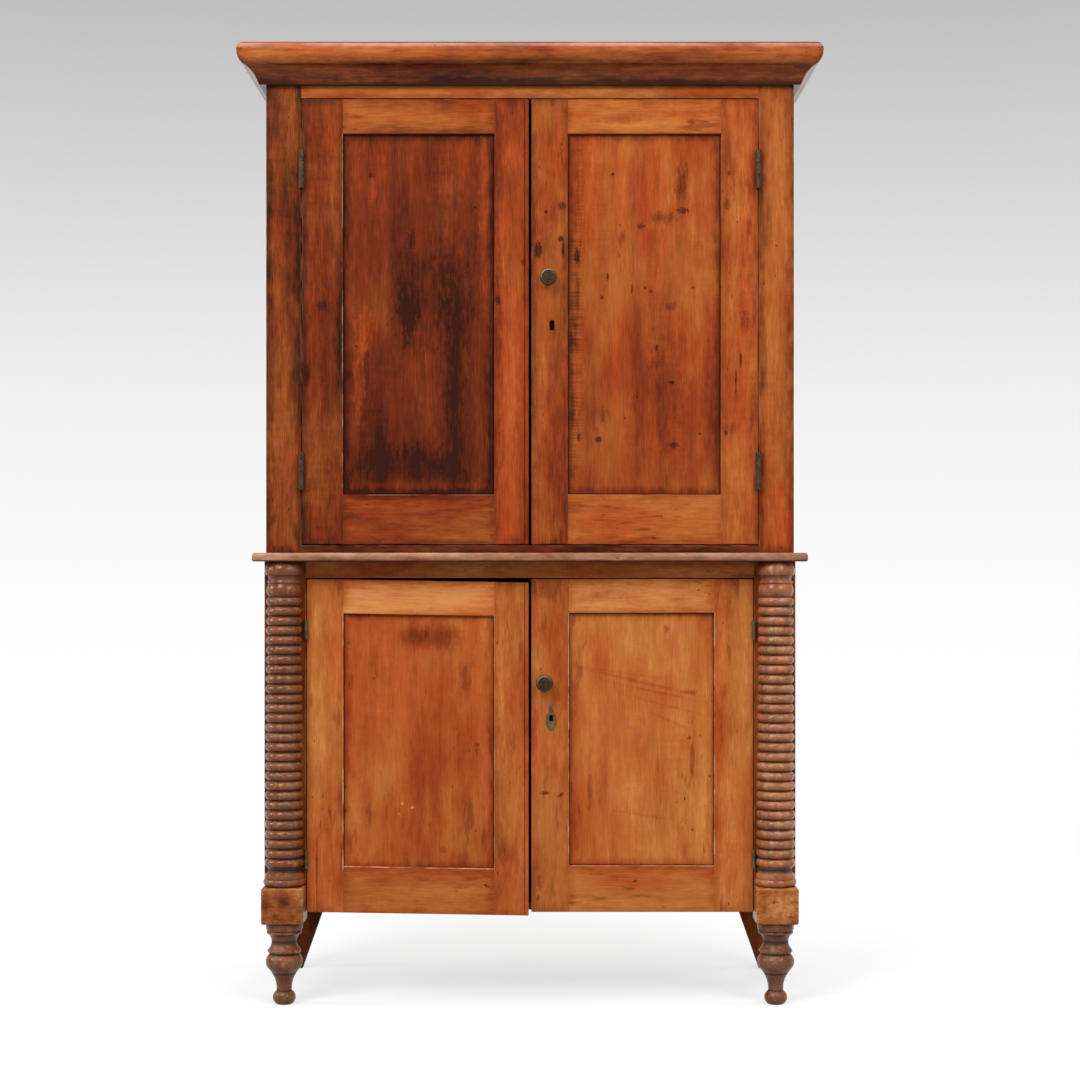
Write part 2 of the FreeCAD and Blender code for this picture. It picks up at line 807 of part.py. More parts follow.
def column_shares():
    """Return the column's outline from its base to its capital."""
    rows = list(COLUMN_BASE_SHARES)
    depth = size("ring_depth") / size("column_radius")
    for ring in range(RING_COUNT):
        middle = FIRST_RING_SHARE + ring * RING_PITCH_SHARE
        radius = 1 - (1 - TOP_RING_SHARE) * ring / (RING_COUNT - 1)
        rows.append((radius - depth, middle - RING_HALF_HEIGHT_SHARE))
        rows.append((radius, middle, radius - depth, middle + RING_HALF_HEIGHT_SHARE))
    return rows + COLUMN_TOP_SHARES


def column(side, sign):
    """Make a ring-turned column, flat at the back where it lies on its stile, notched for hinges."""
    turned = body_of(f"{side}_column_turning")
    sketch = outline(turned, "XZ_Plane", (0, 0), column_shares(), "column_radius", "column_height")
    revolve(turned, sketch)
    bind(turned, x=f"{sign} * {COLUMN_X}", y=COLUMN_Y, z=BLOCK_TOP)
    flat = board(
        f"{side}_column_flat",
        mirrored(sign, (f"{COLUMN_X} - block_width", f"{COLUMN_X} + block_width")),
        (LOWER_FACE, f"{LOWER_FACE} + block_width"),
        (f"{BLOCK_TOP} - overrun", f"{WAIST_BOTTOM} + overrun"),
    )
    notches = [
        post(
            f"{side}_column_notch_{place}",
            "lower_barrel_radius + hinge_notch_play",
            "lower_hinge_length + 2 * hinge_notch_play",
            (
                f"{sign} * ({LOWER_OPENING} - hinge_gap / 2)",
                f"{LOWER_FACE} - lower_barrel_radius - barrel_clearance",
                f"{middle} - lower_hinge_length / 2 - hinge_notch_play",
            ),
        )
        for place, middle in LOWER_HINGES.items()
    ]
    node(f"{side}_column", cut(f"{side}_column", turned, [flat] + notches))


for side, sign in (("left", -1), ("right", 1)):
    front_foot(side, sign)
    column(side, sign)


class Door:
    """One framed door: two stiles, two rails and a panel, hung on two hinges.

    Distances across a door are measured from its hinge edge, and distances deep from its face.
    """

    def __init__(self, level, side):
        """Take the sizes of the door at a level (upper or lower) and side (left or right)."""
        upper = level == "upper"
        self.name = f"{level}_{side}_door"
        self.level = level
        self.side = side
        self.sign = -1 if side == "left" else 1
        opening = UPPER_OPENING if upper else LOWER_OPENING
        self.hinge_x = f"{self.sign} * ({opening} - hinge_gap)"
        self.axis_x = f"{self.sign} * ({opening} - hinge_gap / 2)"
        self.frame_x = f"{self.sign} * {opening}"
        self.face = UPPER_FACE if upper else LOWER_FACE
        self.width = f"({opening} - hinge_gap - meeting_gap / 2)"
        self.bottom = f"({SILL_TOP} + door_gap)" if upper else LOWER_FLOOR
        self.top = f"({UPPER_OPENING_TOP if upper else LOWER_OPENING_TOP} - door_gap)"
        self.hinge_stile = f"{level}_{side}_hinge_stile"
        self.meeting = f"({self.width} - {level}_{side}_meeting_stile)"
        self.top_rail = f"({self.top} - {level}_top_rail)"
        self.bottom_rail = f"({self.bottom} + {level}_bottom_rail)"
        self.drop = "lower_left_drop" if self.name == "lower_left_door" else "0"
        self.hinges = UPPER_HINGES if upper else LOWER_HINGES
        self.hinge_length = f"{level}_hinge_length"
        self.barrel = f"{level}_barrel_radius"
        self.axis_y = f"({self.face} - {self.barrel} - barrel_clearance)"
        self.groove = ("panel_recess", "panel_recess + panel_thickness")

    def slab(self, label, across, deep, up):
        """Make a board of the door, its level edges falling with the door's drop."""
        item = DOC.addObject("Part::Wedge", f"{self.name}_{label}")
        thick = (f"-({deep[1]})", f"-({deep[0]})") if self.sign < 0 else deep
        fall = [f"{self.drop} * ({place}) / {self.width}" for place in across]
        bind(item, Xmin=thick[0], X2min=thick[0], Xmax=thick[1], X2max=thick[1])
        bind(item, Ymin=across[0], Ymax=across[1])
        bind(item, Zmin=f"{up[0]} - {fall[0]}", Z2min=f"{up[0]} - {fall[1]}")
        bind(item, Zmax=f"{up[1]} - {fall[0]}", Z2max=f"{up[1]} - {fall[1]}")
        item.Placement.Rotation = FreeCAD.Rotation(UPRIGHT, self.sign * 90)
        return bind(item, x=self.hinge_x, y=self.face)

    def whole(self):
        """Return the span of the door's whole thickness."""
        return ("0", "frame_thickness")

    def tenon_spans(self, play):
        """Return the heights of the bottom and top rails' tenons, drawn in by a play."""
        low = (f"{self.bottom} + tenon_shoulder + {play}", f"{self.bottom_rail} - groove_depth - {play}")
        high = (f"{self.top_rail} + groove_depth + {play}", f"{self.top} - tenon_shoulder - {play}")
        return {"bottom": low, "top": high}

    def stile_cutters(self, label, inner, towards):
        """Return the groove and mortise cutters of a stile's inner edge."""
        def span(depth):
            far, near = f"{inner} + {towards} * ({depth})", f"{inner} - {towards} * overrun"
            return (far, near) if towards < 0 else (near, far)

        groove_up = (f"{self.bottom_rail} - groove_depth", f"{self.top_rail} + groove_depth")
        cutters = [self.slab(f"{label}_groove", span("groove_depth"), self.groove, groove_up)]
        for place, up in self.tenon_spans("0").items():
            mortise = span("tenon_length + panel_play")
            cutters.append(self.slab(f"{label}_{place}_mortise", mortise, self.groove, up))
        return cutters

    def make_hinge_stile(self):
        """Make the stile that carries the hinges."""
        blank = self.slab("hinge_blank", ("0", self.hinge_stile), self.whole(), (self.bottom, self.top))
        cutters = self.stile_cutters("hinge", self.hinge_stile, -1)
        for place, middle in self.hinges.items():
            up = (f"{middle} - {self.hinge_length} / 2", f"{middle} + {self.hinge_length} / 2")
            reach = mirrored(self.sign, (f"{self.sign} * ({self.hinge_x}) - leaf_thickness",
                                         f"{self.sign} * ({self.hinge_x}) + overrun"))
            deep = (f"{self.face} - overrun", f"{self.face} + leaf_depth")
            cutters.append(board(f"{self.name}_{place}_leaf_recess", reach, deep, up))
        label = f"{self.name}_hinge_stile"
        node(label, cut(label, blank, cutters))

    def make_meeting_stile(self, extra):
        """Make the stile at the middle of the pair, with its bead or holes."""
        blank = self.slab(
            "meeting_blank", (self.meeting, self.width), self.whole(), (self.bottom, self.top)
        )
        cutters = self.stile_cutters("meeting", self.meeting, 1) + extra
        if self.side == "left":
            quirk = (f"{self.width} - bead_width - quirk_width", f"{self.width} - bead_width")
            up = (f"{self.bottom} - overrun", f"{self.top} + overrun")
            cutters.append(self.slab("quirk", quirk, ("-overrun", "quirk_depth"), up))
        label = f"{self.name}_meeting_stile"
        node(label, cut(label, blank, cutters))

    def make_rails_and_panel(self, drilled):
        """Make the two rails with their tenons, and the panel that sits in the grooves.

        Args:
            drilled: Holes that are drilled through the top rail's tenon.
        """
        rails = {
            "bottom": (self.bottom, self.bottom_rail),
            "top": (self.top_rail, self.top),
        }
        tenons = self.tenon_spans("joint_play")
        for place, up in rails.items():
            inner = (self.hinge_stile, self.meeting)
            blank = self.slab(f"{place}_rail_blank", inner, self.whole(), up)
            edge = up[1] if place == "bottom" else up[0]
            groove_up = (f"{edge} - groove_depth", f"{edge} + groove_depth")
            long = (f"{self.hinge_stile} - overrun", f"{self.meeting} + overrun")
            groove = self.slab(f"{place}_rail_groove", long, self.groove, groove_up)
            grooved = cut(f"{self.name}_{place}_rail_grooved", blank, [groove])
            reach = (f"{self.hinge_stile} - tenon_length", f"{self.meeting} + tenon_length")
            tenon = self.slab(f"{place}_rail_tenon", reach, self.groove, tenons[place])
            label = f"{self.name}_{place}_rail"
            if place == "top" and drilled:
                joined = fuse(f"{label}_joined", [grooved, tenon])
                node(label, cut(label, joined, drilled))
            else:
                node(label, fuse(label, [grooved, tenon]))
        tongue = "groove_depth - panel_play"
        across = (f"{self.hinge_stile} - ({tongue})", f"{self.meeting} + ({tongue})")
        up = (f"{self.bottom_rail} - ({tongue})", f"{self.top_rail} + ({tongue})")
        node(f"{self.name}_panel", self.slab("panel", across, self.groove, up))

    def knuckle(self, label, radius, middle, low_share, high_share):
        """Make a barrel section between two shares of the hinge's length."""
        low = f"{middle} + ({low_share}) * {self.hinge_length}"
        high = f"({high_share} - ({low_share})) * {self.hinge_length}"
        return post(f"{self.name}_{label}", radius, high, (self.axis_x, self.axis_y, low))

    def leaf(self, label, edge_x, outward, middle, own_spans, other_spans):
        """Make one hinge leaf with its knuckles.

        Args:
            label: The leaf's name.
            edge_x: X of the edge that the leaf is let into.
            outward: The sign of X from the leaf's face into the wood.
            middle: The hinge's middle height.
            own_spans: The shares of the length that hold this leaf's knuckles.
            other_spans: The shares that the other leaf's knuckles take.
        """
        thick = (edge_x, f"{edge_x} + {outward} * leaf_thickness")
        across = thick if outward > 0 else thick[::-1]
        up = (f"{middle} - {self.hinge_length} / 2", f"{middle} + {self.hinge_length} / 2")
        plate = board(f"{label}_plate", across, (self.axis_y, f"{self.face} + leaf_depth"), up)
        solids = [plate]
        for number, (low, high) in enumerate(own_spans):
            barrel = self.knuckle(f"{label}_knuckle_{number}", self.barrel, middle, low, high)
            bind(barrel, z=f"{middle} + ({low}) * {self.hinge_length} + knuckle_gap / 2")
            bind(barrel, Height=f"({high} - ({low})) * {self.hinge_length} - knuckle_gap")
            solids.append(barrel)
        cutters = [
            self.knuckle(f"{label}_relief_{number}", f"{self.barrel} + joint_play", middle, low, high)
            for number, (low, high) in enumerate(other_spans)
        ]
        clear = f"{self.barrel} * pin_share + pin_play"
        bore = self.knuckle(f"{label}_bore", clear, middle, *WHOLE_HINGE_SHARES)
        return cut(label, fuse(f"{label}_solid", solids), cutters + [bore])

    def make_hinges(self):
        """Make the leaves on the frame and on the door, and the pins."""
        ends, centre = END_KNUCKLE_SHARES, MIDDLE_KNUCKLE_SHARES
        frame_leaves, door_leaves, pins = [], [], []
        for place, middle in self.hinges.items():
            frame = f"{self.name}_{place}_frame_leaf"
            door = f"{self.name}_{place}_door_leaf"
            frame_leaves.append(self.leaf(frame, self.frame_x, self.sign, middle, ends, centre))
            door_leaves.append(self.leaf(door, self.hinge_x, -self.sign, middle, centre, ends))
            radius = f"{self.barrel} * pin_share"
            pins.append(self.knuckle(f"{place}_pin", radius, middle, *WHOLE_HINGE_SHARES))
        node(f"{self.name}_hinge_leaves", group(f"{self.name}_hinge_leaves", door_leaves))
        return frame_leaves, pins


def turned_fitting(label, rows, place):
    """Make a turned fitting that stands out from a face towards the front."""
    body = body_of(label)
    revolve(body, outline(body, "XZ_Plane", (0, 0), rows, "knob_radius", "knob_projection"))
    body.Placement.Rotation = FreeCAD.Rotation(FreeCAD.Vector(1, 0, 0), 90)
    return bind(body, x=place[0], y=place[1], z=place[2])


def keyhole(label, level, face, depth, place):
    """Make a keyhole cutter: an upright slot with a round top."""
    width, length = f"{level}_keyhole_width", f"{level}_keyhole_length"
    shoulder = f"{place[1]} + {length} / 2 - {width} / 2"
    deep = (f"{face} - overrun", f"{face} + {depth}")
    slot = board(
        f"{label}_slot",
        (f"{place[0]} - {width} / 2", f"{place[0]} + {width} / 2"),
        deep,
        (f"{place[1]} - {length} / 2", shoulder),
    )
    crown = peg(f"{label}_crown", f"{width} / 2", f"{depth} + overrun", (place[0], deep[0], shoulder))
    return fuse(label, [slot, crown])


def knob(level, door):
    """Make a knob with its peg, and return the hole that the peg needs."""
    base = WAIST_TOP if level == "upper" else LOWER_FLOOR
    place = (f"{level}_knob_offset", door.face, f"{base} + {level}_knob_rise")
    head = turned_fitting(f"{level}_knob_head", KNOB_SHARES, place)
    shank = peg(f"{level}_knob_peg", "knob_peg_radius", "knob_peg_length", place)
    node(f"{level}_knob", fuse(f"{level}_knob", [head, shank]))
    start = (place[0], f"{door.face} - overrun", place[2])
    return peg(
        f"{level}_knob_hole",
        "knob_peg_radius + joint_play",
        "knob_peg_length + panel_play + overrun",
        start,
    )


def lock(level, door, place):
    """Make the box lock behind a right door, and its sliding bolt."""
    back = f"({door.face} + frame_thickness)"
    left, right = "lock_edge", "lock_edge + lock_width"
    low, high = f"{place[1]} - lock_height / 2", f"{place[1]} + lock_height / 2"
    box = board(f"{level}_lock_box", (left, right), (back, f"{back} + lock_depth"), (low, high))
    inside = board(
        f"{level}_lock_inside",
        (f"{left} + lock_wall", f"{right} - lock_wall"),
        (f"{back} - overrun", f"{back} + lock_depth - lock_wall"),
        (f"{low} + lock_wall", f"{high} - lock_wall"),
    )
    bolt_front = f"{back} + (lock_depth - lock_bolt_thickness) / 2"
    bolt_back = f"{back} + (lock_depth + lock_bolt_thickness) / 2"
    bolt_low = f"{place[1]} + {LOCK_BOLT_SHARE} * lock_height - lock_bolt_height / 2"
    bolt_high = f"{place[1]} + {LOCK_BOLT_SHARE} * lock_height + lock_bolt_height / 2"
    window = board(
        f"{level}_lock_window",
        (f"{left} - overrun", f"{left} + lock_wall + overrun"),
        (f"{bolt_front} - lock_bolt_play", f"{bolt_back} + lock_bolt_play"),
        (f"{bolt_low} - lock_bolt_play", f"{bolt_high} + lock_bolt_play"),
    )
    node(f"{level}_lock_case", cut(f"{level}_lock_case", box, [inside, window]))
    bolt = board(
        f"{level}_lock_bolt",
        (left, f"{left} + lock_bolt_length"),
        (bolt_front, bolt_back),
        (bolt_low, bolt_high),
    )
    node(f"{level}_lock_bolt", bolt)


def turn_button(level, door):
    """Make the turn button behind a left door, and return the hole that its peg turns in."""
    across = f"({door.width} - {level}_left_meeting_stile / 2)"
    x = f"({door.hinge_x} + {across})"
    z = f"({door.top} - button_inset - {door.drop} * {across} / {door.width})"
    back = f"({door.face} + frame_thickness)"
    front = f"({back} + button_face_play)"
    half = "button_width / 2"
    high = f"{z} + {BUTTON_PIVOT_SHARE} * button_length - {half}"
    low = f"{z} - {1 - BUTTON_PIVOT_SHARE} * button_length + {half}"
    bar = board(
        f"{level}_button_bar",
        (f"{x} - {half}", f"{x} + {half}"),
        (front, f"{front} + button_thickness"),
        (low, high),
    )
    ends = [
        peg(f"{level}_button_{name}", half, "button_thickness", (x, front, height))
        for name, height in (("top", high), ("bottom", low))
    ]
    stem = peg(
        f"{level}_button_peg",
        "button_peg_radius",
        "button_peg_length + button_thickness",
        (x, f"{back} - button_peg_length + button_face_play", z),
    )
    label = f"{level}_left_turn_button"
    node(label, fuse(label, [bar, stem] + ends))
    return peg(
        f"{level}_button_hole",
        "button_peg_radius + button_peg_play",
        "button_peg_length + panel_play + overrun",
        (x, f"{back} - button_peg_length - panel_play", z),
    )


def both_halves(rows):
    """Return the outline of a shape that is alike on both sides of its upright middle."""
    back = []
    for index in range(len(rows) - 1, 0, -1):
        goal = rows[index - 1][-2:]
        middle = rows[index][:-2]
        mark = (-middle[0], middle[1]) if middle else ()
        back.append(mark + (-goal[0], goal[1]))
    return rows + back


def escutcheon(door, place):
    """Make the keyhole plate of the lower right door."""
    body = body_of("lower_escutcheon_plate")
    sketch = outline(
        body, "XZ_Plane", (0, 0), both_halves(ESCUTCHEON_SHARES), "escutcheon_width", "escutcheon_length"
    )
    extrude(body, sketch, "escutcheon_thickness")
    bind(body, x=place[0], y=door.face, z=f"{place[1]} - {KEYHOLE_SHARE} * escutcheon_length")
    hole = keyhole("lower_escutcheon_hole", "lower", f"({door.face} - escutcheon_thickness)",
                   "escutcheon_thickness + overrun", place)
    node("lower_escutcheon", cut("lower_escutcheon", body, [hole]))


all_frame_leaves, all_pins = [], []
for level in ("upper", "lower"):
    for side in ("left", "right"):
        door = Door(level, side)
        door.make_hinge_stile()
        if side == "left":
            extra = [turn_button(level, door)]
            door.make_rails_and_panel(extra)
        else:
            door.make_rails_and_panel([])
            base = WAIST_TOP if level == "upper" else LOWER_FLOOR
            key = (f"{level}_keyhole_offset", f"({base} + {level}_keyhole_rise)")
            extra = [
                knob(level, door),
                keyhole(f"{level}_keyhole", level, door.face, "frame_thickness + overrun", key),
            ]
            lock(level, door, key)
            if level == "lower":
                escutcheon(door, key)
        door.make_meeting_stile(extra)
        frame_leaves, pins = door.make_hinges()
        all_frame_leaves += frame_leaves
        all_pins += pins
node("hinge_frame_leaves", group("hinge_frame_leaves", all_frame_leaves))
node("hinge_pins", group("hinge_pins", all_pins))

DOC.recompute()
faults = [item.Label for item in DOC.Objects if {"Invalid", "Error"} & set(item.State)]
faults += [item.Label for item in NODES if item.Shape.isNull() or not item.Shape.isValid()]
if faults:
    raise RuntimeError(f"These objects failed: {sorted(set(faults))}")

os.makedirs("parts", exist_ok=True)
for item in NODES:
    item.Shape.exportStep(os.path.join("parts", f"{item.Label}.step"))
print(f"{len(NODES)} sub-parts written")
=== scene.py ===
"""Looks of a step-back cupboard: worn varnished boards, ring-turned columns, iron and bronze fittings.

Metres, +Z up, the front faces -Y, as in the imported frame.
"""
from __future__ import annotations

import json
import logging
import math
import random
from dataclasses import dataclass, field
from enum import Enum
from typing import Callable, Iterable, Optional, Sequence, Union

import bmesh
import bpy
from mathutils import Matrix, Vector

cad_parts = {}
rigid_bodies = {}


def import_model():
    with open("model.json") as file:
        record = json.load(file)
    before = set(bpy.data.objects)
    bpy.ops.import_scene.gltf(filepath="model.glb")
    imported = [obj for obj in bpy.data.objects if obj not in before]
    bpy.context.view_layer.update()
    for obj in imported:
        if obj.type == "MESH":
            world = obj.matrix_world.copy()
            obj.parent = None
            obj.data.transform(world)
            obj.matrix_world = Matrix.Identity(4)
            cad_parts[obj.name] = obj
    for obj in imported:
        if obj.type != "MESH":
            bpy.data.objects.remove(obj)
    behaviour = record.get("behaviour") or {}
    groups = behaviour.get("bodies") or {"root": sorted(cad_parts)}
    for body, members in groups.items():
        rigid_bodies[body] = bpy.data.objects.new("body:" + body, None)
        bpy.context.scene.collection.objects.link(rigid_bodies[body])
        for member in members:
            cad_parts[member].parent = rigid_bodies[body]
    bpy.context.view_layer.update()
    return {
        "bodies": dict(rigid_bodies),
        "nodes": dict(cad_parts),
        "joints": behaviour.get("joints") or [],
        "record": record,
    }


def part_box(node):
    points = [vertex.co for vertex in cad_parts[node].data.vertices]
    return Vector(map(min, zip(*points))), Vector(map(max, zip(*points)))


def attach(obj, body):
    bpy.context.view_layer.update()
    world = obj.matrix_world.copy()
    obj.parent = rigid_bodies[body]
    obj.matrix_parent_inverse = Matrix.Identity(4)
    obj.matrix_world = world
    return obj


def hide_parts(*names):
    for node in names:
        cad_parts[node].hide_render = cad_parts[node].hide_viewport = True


LOG = logging.getLogger("cupboard")
IMAGE_SIDE = 1080
WELD = 1e-5
FLAT_ANGLE = math.radians(0.5)
SHARP_ANGLE = math.radians(32)
CONVEX_ANGLE = math.radians(25)
# A face looks one way when its normal reaches this far along it.
FACING = 0.5
Colour = tuple[float, float, float]
Triple = tuple[float, float, float]
Point = tuple[float, float]


class Grain(Enum):
    """The axis that a board's grain runs along, with the axes across and through it."""

    ACROSS = (0, 2, 1)
    DEEP = (1, 2, 0)
    UPRIGHT = (2, 0, 1)


class Slot(Enum):
    """The record's material slots."""

    CASE = "case_wood"
    PANEL = "panel_wood"
    TURNED = "turned_wood"
    BARE = "bare_wood"
    IRON = "iron"
    BRONZE = "dark_bronze"


class Value:
    """A shader socket that takes part in Python arithmetic."""

    def __init__(self, shader: "Shader", socket: bpy.types.NodeSocket) -> None:
        """Hold a socket of a shader's tree."""
        self.shader = shader
        self.socket = socket

    def _math(self, operation: str, first: "Number", second: "Number") -> "Value":
        """Return a Math node's result."""
        return self.shader.make("ShaderNodeMath", {"operation": operation}, {0: first, 1: second})

    def __add__(self, other: "Number") -> "Value":
        """Return the sum."""
        return self._math("ADD", self, other)

    def __sub__(self, other: "Number") -> "Value":
        """Return the difference."""
        return self._math("SUBTRACT", self, other)

    def __rsub__(self, other: "Number") -> "Value":
        """Return a number less this value."""
        return self._math("SUBTRACT", other, self)

    def __mul__(self, other: "Number") -> "Value":
        """Return the product."""
        return self._math("MULTIPLY", self, other)

    __radd__ = __add__

    def least(self, other: "Number") -> "Value":
        """Return the smaller of two values."""
        return self._math("MINIMUM", self, other)

    def most(self, other: "Number") -> "Value":
        """Return the larger of two values."""
        return self._math("MAXIMUM", self, other)

    def rise(self, low: float, high: float) -> "Value":
        """Return a smooth step from 0 at low to 1 at high."""
        settings = {"interpolation_type": "SMOOTHSTEP", "clamp": True}
        return self.shader.make("ShaderNodeMapRange", settings, {0: self, 1: low, 2: high})


Number = Union[Value, float]
Inputs = dict[Union[int, str], Union[Value, float, Sequence[float]]]


@dataclass(frozen=True)
class Mark:
    """A stain, knock or rubbed spot on the front.

    It has a middle, half sizes, a depth that darkens (or lightens, below 0), a lean and a ragged rim.
    """

    x: float
    z: float
    wide: float
    tall: float
    depth: float
    lean: float = 0.0
    ragged: float = 1.0


class Shader:
    """A node tree that is written as expressions."""

    def __init__(self, tree: bpy.types.NodeTree) -> None:
        """Empty a node tree and start on it."""
        self.tree = tree
        tree.nodes.clear()

    def make(
        self, kind: str, settings: dict[str, object], inputs: Inputs, output: Union[int, str] = 0
    ) -> Optional[Value]:
        """Add a node.

        Args:
            kind: The node's type.
            settings: Its settings; stops are a colour ramp's places and colours.
            inputs: Values or links of its sockets, by number or name.
            output: The socket to return.

        Returns:
            The chosen output socket, or None for a node without outputs.
        """
        node = self.tree.nodes.new(kind)
        for name, setting in settings.items():
            if name == "stops":
                self._set_stops(node.color_ramp, setting)
            else:
                setattr(node, name, setting)
        for name, given in inputs.items():
            if isinstance(given, Value):
                self.tree.links.new(given.socket, node.inputs[name])
            else:
                node.inputs[name].default_value = given
        return Value(self, node.outputs[output]) if len(node.outputs) else None

    @staticmethod
    def _set_stops(ramp: bpy.types.ColorRamp, stops: Sequence[tuple[float, Colour]]) -> None:
        """Give a colour ramp its stops."""
        while len(ramp.elements) < len(stops):
            ramp.elements.new(1.0)
        for element, (place, colour) in zip(ramp.elements, stops):
            element.position = place
            element.color = (*colour, 1.0)

    def attribute(self, name: str, output: str = "Vector") -> Value:
        """Return an attribute of the piece's mesh."""
        return self.make("ShaderNodeAttribute", {"attribute_name": name}, {}, output)

    def place(self) -> Value:
        """Return the Object coordinates."""
        return self.make("ShaderNodeTexCoord", {}, {}, "Object")

    def part(self, vector: Value, axis: str) -> Value:
        """Return one part of a vector."""
        return self.make("ShaderNodeSeparateXYZ", {}, {0: vector}, axis)

    def stretched(self, vector: Value, factors: Triple) -> Value:
        """Return a vector times three factors."""
        return self.make("ShaderNodeVectorMath", {"operation": "MULTIPLY"}, {0: vector, 1: factors})

    def turned(self, vector: Value, angle: float, axis: str) -> Value:
        """Return a vector turned about an axis."""
        settings = {"rotation_type": f"{axis}_AXIS"}
        return self.make("ShaderNodeVectorRotate", settings, {"Vector": vector, "Angle": angle})

    def length(self, vector: Value) -> Value:
        """Return a vector's length."""
        return self.make("ShaderNodeVectorMath", {"operation": "LENGTH"}, {0: vector}, "Value")

    def away(self, spot: Value, mark: Mark) -> Value:
        """Return how far a spot lies from a mark's middle, in the mark's half sizes."""
        middle = (mark.x, 0, mark.z)
        aside = self.make("ShaderNodeVectorMath", {"operation": "SUBTRACT"}, {0: spot, 1: middle})
        if mark.lean:
            aside = self.turned(aside, mark.lean, "Y")
        return self.length(self.stretched(aside, (1 / mark.wide, 0, 1 / mark.tall)))

    def noise(self, vector: Value, factors: Triple, detail: float = 2.0, rough: float = 0.5) -> Value:
        """Return noise on a stretched vector, about 0.5 on average.

        Args:
            vector: The coordinates, in metres.
            factors: How many features to a metre along each axis.
            detail: The number of finer layers.
            rough: How strong the finer layers are.

        Returns:
            The noise.
        """
        placed = self.stretched(vector, factors)
        inputs = {"Vector": placed, "Scale": 1.0, "Detail": detail, "Roughness": rough}
        return self.make("ShaderNodeTexNoise", {}, inputs)

    def ramp(self, value: Value, stops: Sequence[tuple[float, Colour]]) -> Value:
        """Return a colour from a ramp."""
        return self.make("ShaderNodeValToRGB", {"stops": stops}, {0: value})

    def blend(self, factor: Number, first: Union[Value, Colour], second: Union[Value, Colour]) -> Value:
        """Return a mix of two colours."""
        settings = {"data_type": "RGBA", "clamp_factor": True}
        ends = [end if isinstance(end, Value) else (*end, 1.0) for end in (first, second)]
        return self.make("ShaderNodeMix", settings, {0: factor, 6: ends[0], 7: ends[1]}, 2)

    def bump(self, height: Value, distance: float, strength: float) -> Value:
        """Return a normal that is pushed by a height."""
        inputs = {"Height": height, "Distance": distance, "Strength": strength}
        return self.make("ShaderNodeBump", {}, inputs)

    def surface(self, **inputs: Union[Value, float, Sequence[float]]) -> None:
        """Finish the tree with a Principled surface; underscores in names stand for spaces."""
        named = {name.replace("_", " "): given for name, given in inputs.items()}
        shader = self.make("ShaderNodeBsdfPrincipled", {}, named)
        self.make("ShaderNodeOutputMaterial", {}, {"Surface": shader})


def new_shader(name: str) -> tuple[bpy.types.Material, Shader]:
    """Return a new material and the shader that writes it."""
    material = bpy.data.materials.new(name)
    material.use_nodes = True
    return material, Shader(material.node_tree)


